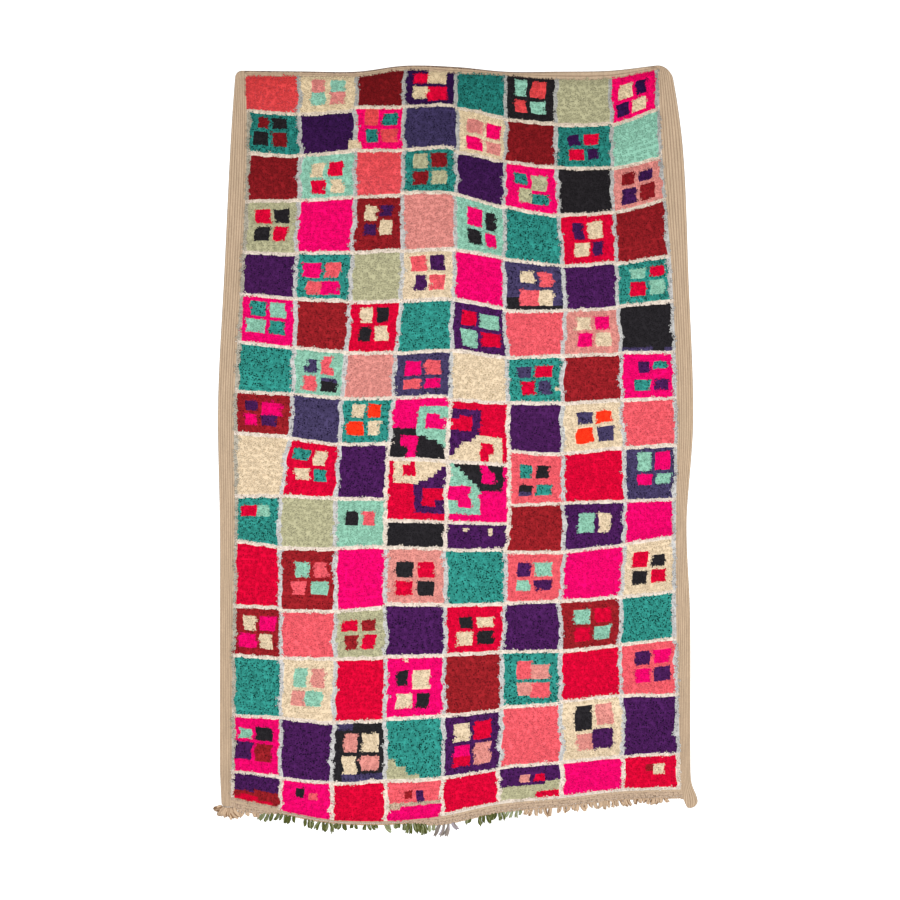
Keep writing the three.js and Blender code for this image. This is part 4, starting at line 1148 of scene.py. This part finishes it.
def fringe_runs():
    """Loose yarns of every lock, by yarn, on the places of the solid's locks."""
    dice = np.random.default_rng(8)
    runs = {}
    for group, (start, end, locks, length, girth, lean, splay, yarn) in enumerate(TUFTS):
        for n in range(locks):
            x = start + (end - start) * (n + 0.5) / locks
            angle = math.radians(lean + splay * (n - (locks - 1) / 2))
            long = BRAID_WIDE / 2 + length * (1 + LOCK_UNEVEN * (2 * uneven(group, n) - 1))
            y = np.interp(x, LOWER_X, LOWER_Y) - FRINGE_GAP - BRAID_WIDE / 2
            curl = dice.uniform(-LOCK_CURL, LOCK_CURL)
            for _ in range(YARNS_IN_LOCK):
                runs.setdefault(yarn, []).append(loose_yarn(dice, x, y, angle, long, girth, curl))
    return runs


def loose_yarn(dice, x, y, angle, long, girth, curl):
    """One yarn of a lock, from the plait to its frayed tip, lying on the floor."""
    turn = angle + dice.normal(0, YARN_TURN)
    aside = dice.uniform(-YARN_ASIDE, YARN_ASIDE) * girth
    wave, phase = dice.uniform(*YARN_WAVE), dice.uniform(0, ANY_TURN)
    bend = curl + dice.normal(0, YARN_BEND)
    rest = dice.uniform(*YARN_HEIGHT)
    share = dice.uniform(*YARN_SHARE)
    strand = dice.uniform(0, 1)
    run = []
    for step in range(YARN_STEPS + 1):
        t = step / YARN_STEPS
        out = long * share * t
        side = aside * (1 - YARN_GATHERS * t) + wave * math.sin(phase + YARN_WAVES * t) + bend * out * t
        px = x + math.sin(turn) * out + math.cos(turn) * side
        py = y - math.cos(turn) * out + math.sin(turn) * side
        full = YARN_THIN + YARN_SWELL * math.sin(math.pi * t)
        radius = girth * YARN_RADIUS * full * (1 - YARN_TAPER * t**YARN_TAPER_POWER)
        point = placed(px, py, max(rest * (1 - YARN_SINKS * t), radius))
        # The tip value sets the painted shade, darker near the plait
        run.append((tuple(point), radius * MM, YARN_TIP_FROM + (1 - YARN_TIP_FROM) * t, strand))
    return run


strands = strand_tree()
fringe = []
for yarn, runs in fringe_runs().items():
    start = runs_mesh("start_" + yarn, runs)
    fringe.append(grown("fringe_" + yarn, start, strands, {"Sides": 5, "Wool": FRINGE_WOOLS[yarn]}))


def plait_runs():
    """Two cords twisted round each other along the cloth's lower edge."""
    length = np.concatenate([[0], np.cumsum(np.hypot(np.diff(LOWER_X), np.diff(LOWER_Y)))])
    at = np.linspace(0, length[-1], int(length[-1] / PLAIT_STEP))
    x = np.interp(at, length, LOWER_X)
    y = np.interp(at, length, LOWER_Y) - FRINGE_GAP - BRAID_WIDE / 2
    slope = np.gradient(y) / np.gradient(x)
    runs = []
    for cord, strand in enumerate(PLAIT_STRANDS):
        turn = at / PLAIT_PITCH * 2 * math.pi + math.pi * cord
        off = PLAIT_SWAY * np.cos(turn)
        px = x - off * slope / np.sqrt(1 + slope**2)
        py = y + off / np.sqrt(1 + slope**2)
        centre = placed(px, py, PLAIT_HEIGHT + PLAIT_RISE * np.sin(turn))
        runs.append([(tuple(p), CORD_RADIUS * MM, PLAIT_TIP, strand) for p in centre])
    return runs


start = runs_mesh("start_plait", plait_runs())
fringe.append(grown("fringe_plait", start, strands, {"Sides": 7, "Wool": FRINGE_WOOLS["tan"]}))

pieces = [cloth] + pile + fringe
for piece in pieces:
    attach(piece, "root")
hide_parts("rug_cloth")
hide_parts("end_fringe")


# The floor, the light and the camera

FLOOR_HALF = 9.0
FLOOR_DEPTH = -0.0006


def studio_floor():
    """White paper under the rug, far past what the camera sees."""
    material = bpy.data.materials.new("white studio paper")
    material.use_nodes = True
    paper = material.node_tree.nodes["Principled BSDF"]
    paper.inputs["Base Color"].default_value = linear("#f6f6f6")
    paper.inputs["Roughness"].default_value = 0.9
    paper.inputs["Specular IOR Level"].default_value = 0.1
    sides = ((-1, -1), (1, -1), (1, 1), (-1, 1))
    corners = [(x * FLOOR_HALF, y * FLOOR_HALF, FLOOR_DEPTH) for x, y in sides]
    mesh = mesh_of("studio_floor", corners, [], [(0, 1, 2, 3)])
    mesh.materials.append(material)
    floor = linked("studio_floor", mesh)


studio_floor()

world = bpy.data.worlds.new("studio")
world.use_nodes = True
sky = world.node_tree.nodes["Background"]
sky.inputs["Color"].default_value = (1.0, 1.0, 1.0, 1.0)
sky.inputs["Strength"].default_value = 0.68
scene.world = world


def softbox(name, place, aim, size, power):
    """A round lamp at a place, turned to what it lights."""
    lamp = bpy.data.lights.new(name, "AREA")
    lamp.shape = "DISK"
    lamp.size = size
    lamp.energy = power
    holder = linked(name, lamp)
    holder.location = place
    towards = Vector(aim) - Vector(place)
    holder.rotation_euler = towards.to_track_quat("-Z", "Y").to_euler()


softbox("overhead_softbox", place=(0.2, -0.5, 4.6), aim=(0, -0.1, 0), size=2.4, power=265)

# The photograph looks straight down: 900 pixels cover 2.88 m of the floor, around this place
PHOTO_WIDE = 2.88
PHOTO_MIDDLE = (-0.020, 0.0034)
CAMERA_HIGH = 7.0
SENSOR_WIDE = 36.0
camera = bpy.data.cameras.new("camera")
camera.sensor_width = SENSOR_WIDE
camera.lens = SENSOR_WIDE * CAMERA_HIGH / PHOTO_WIDE
camera_holder = linked("camera", camera)
camera_holder.location = (*PHOTO_MIDDLE, CAMERA_HIGH)
scene.camera = camera_holder
scene.view_settings.view_transform = "Standard"

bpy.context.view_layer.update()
count = {piece.name: sum(len(p.vertices) - 2 for p in piece.data.polygons) for piece in pieces}
print("triangles", sum(count.values()), count)
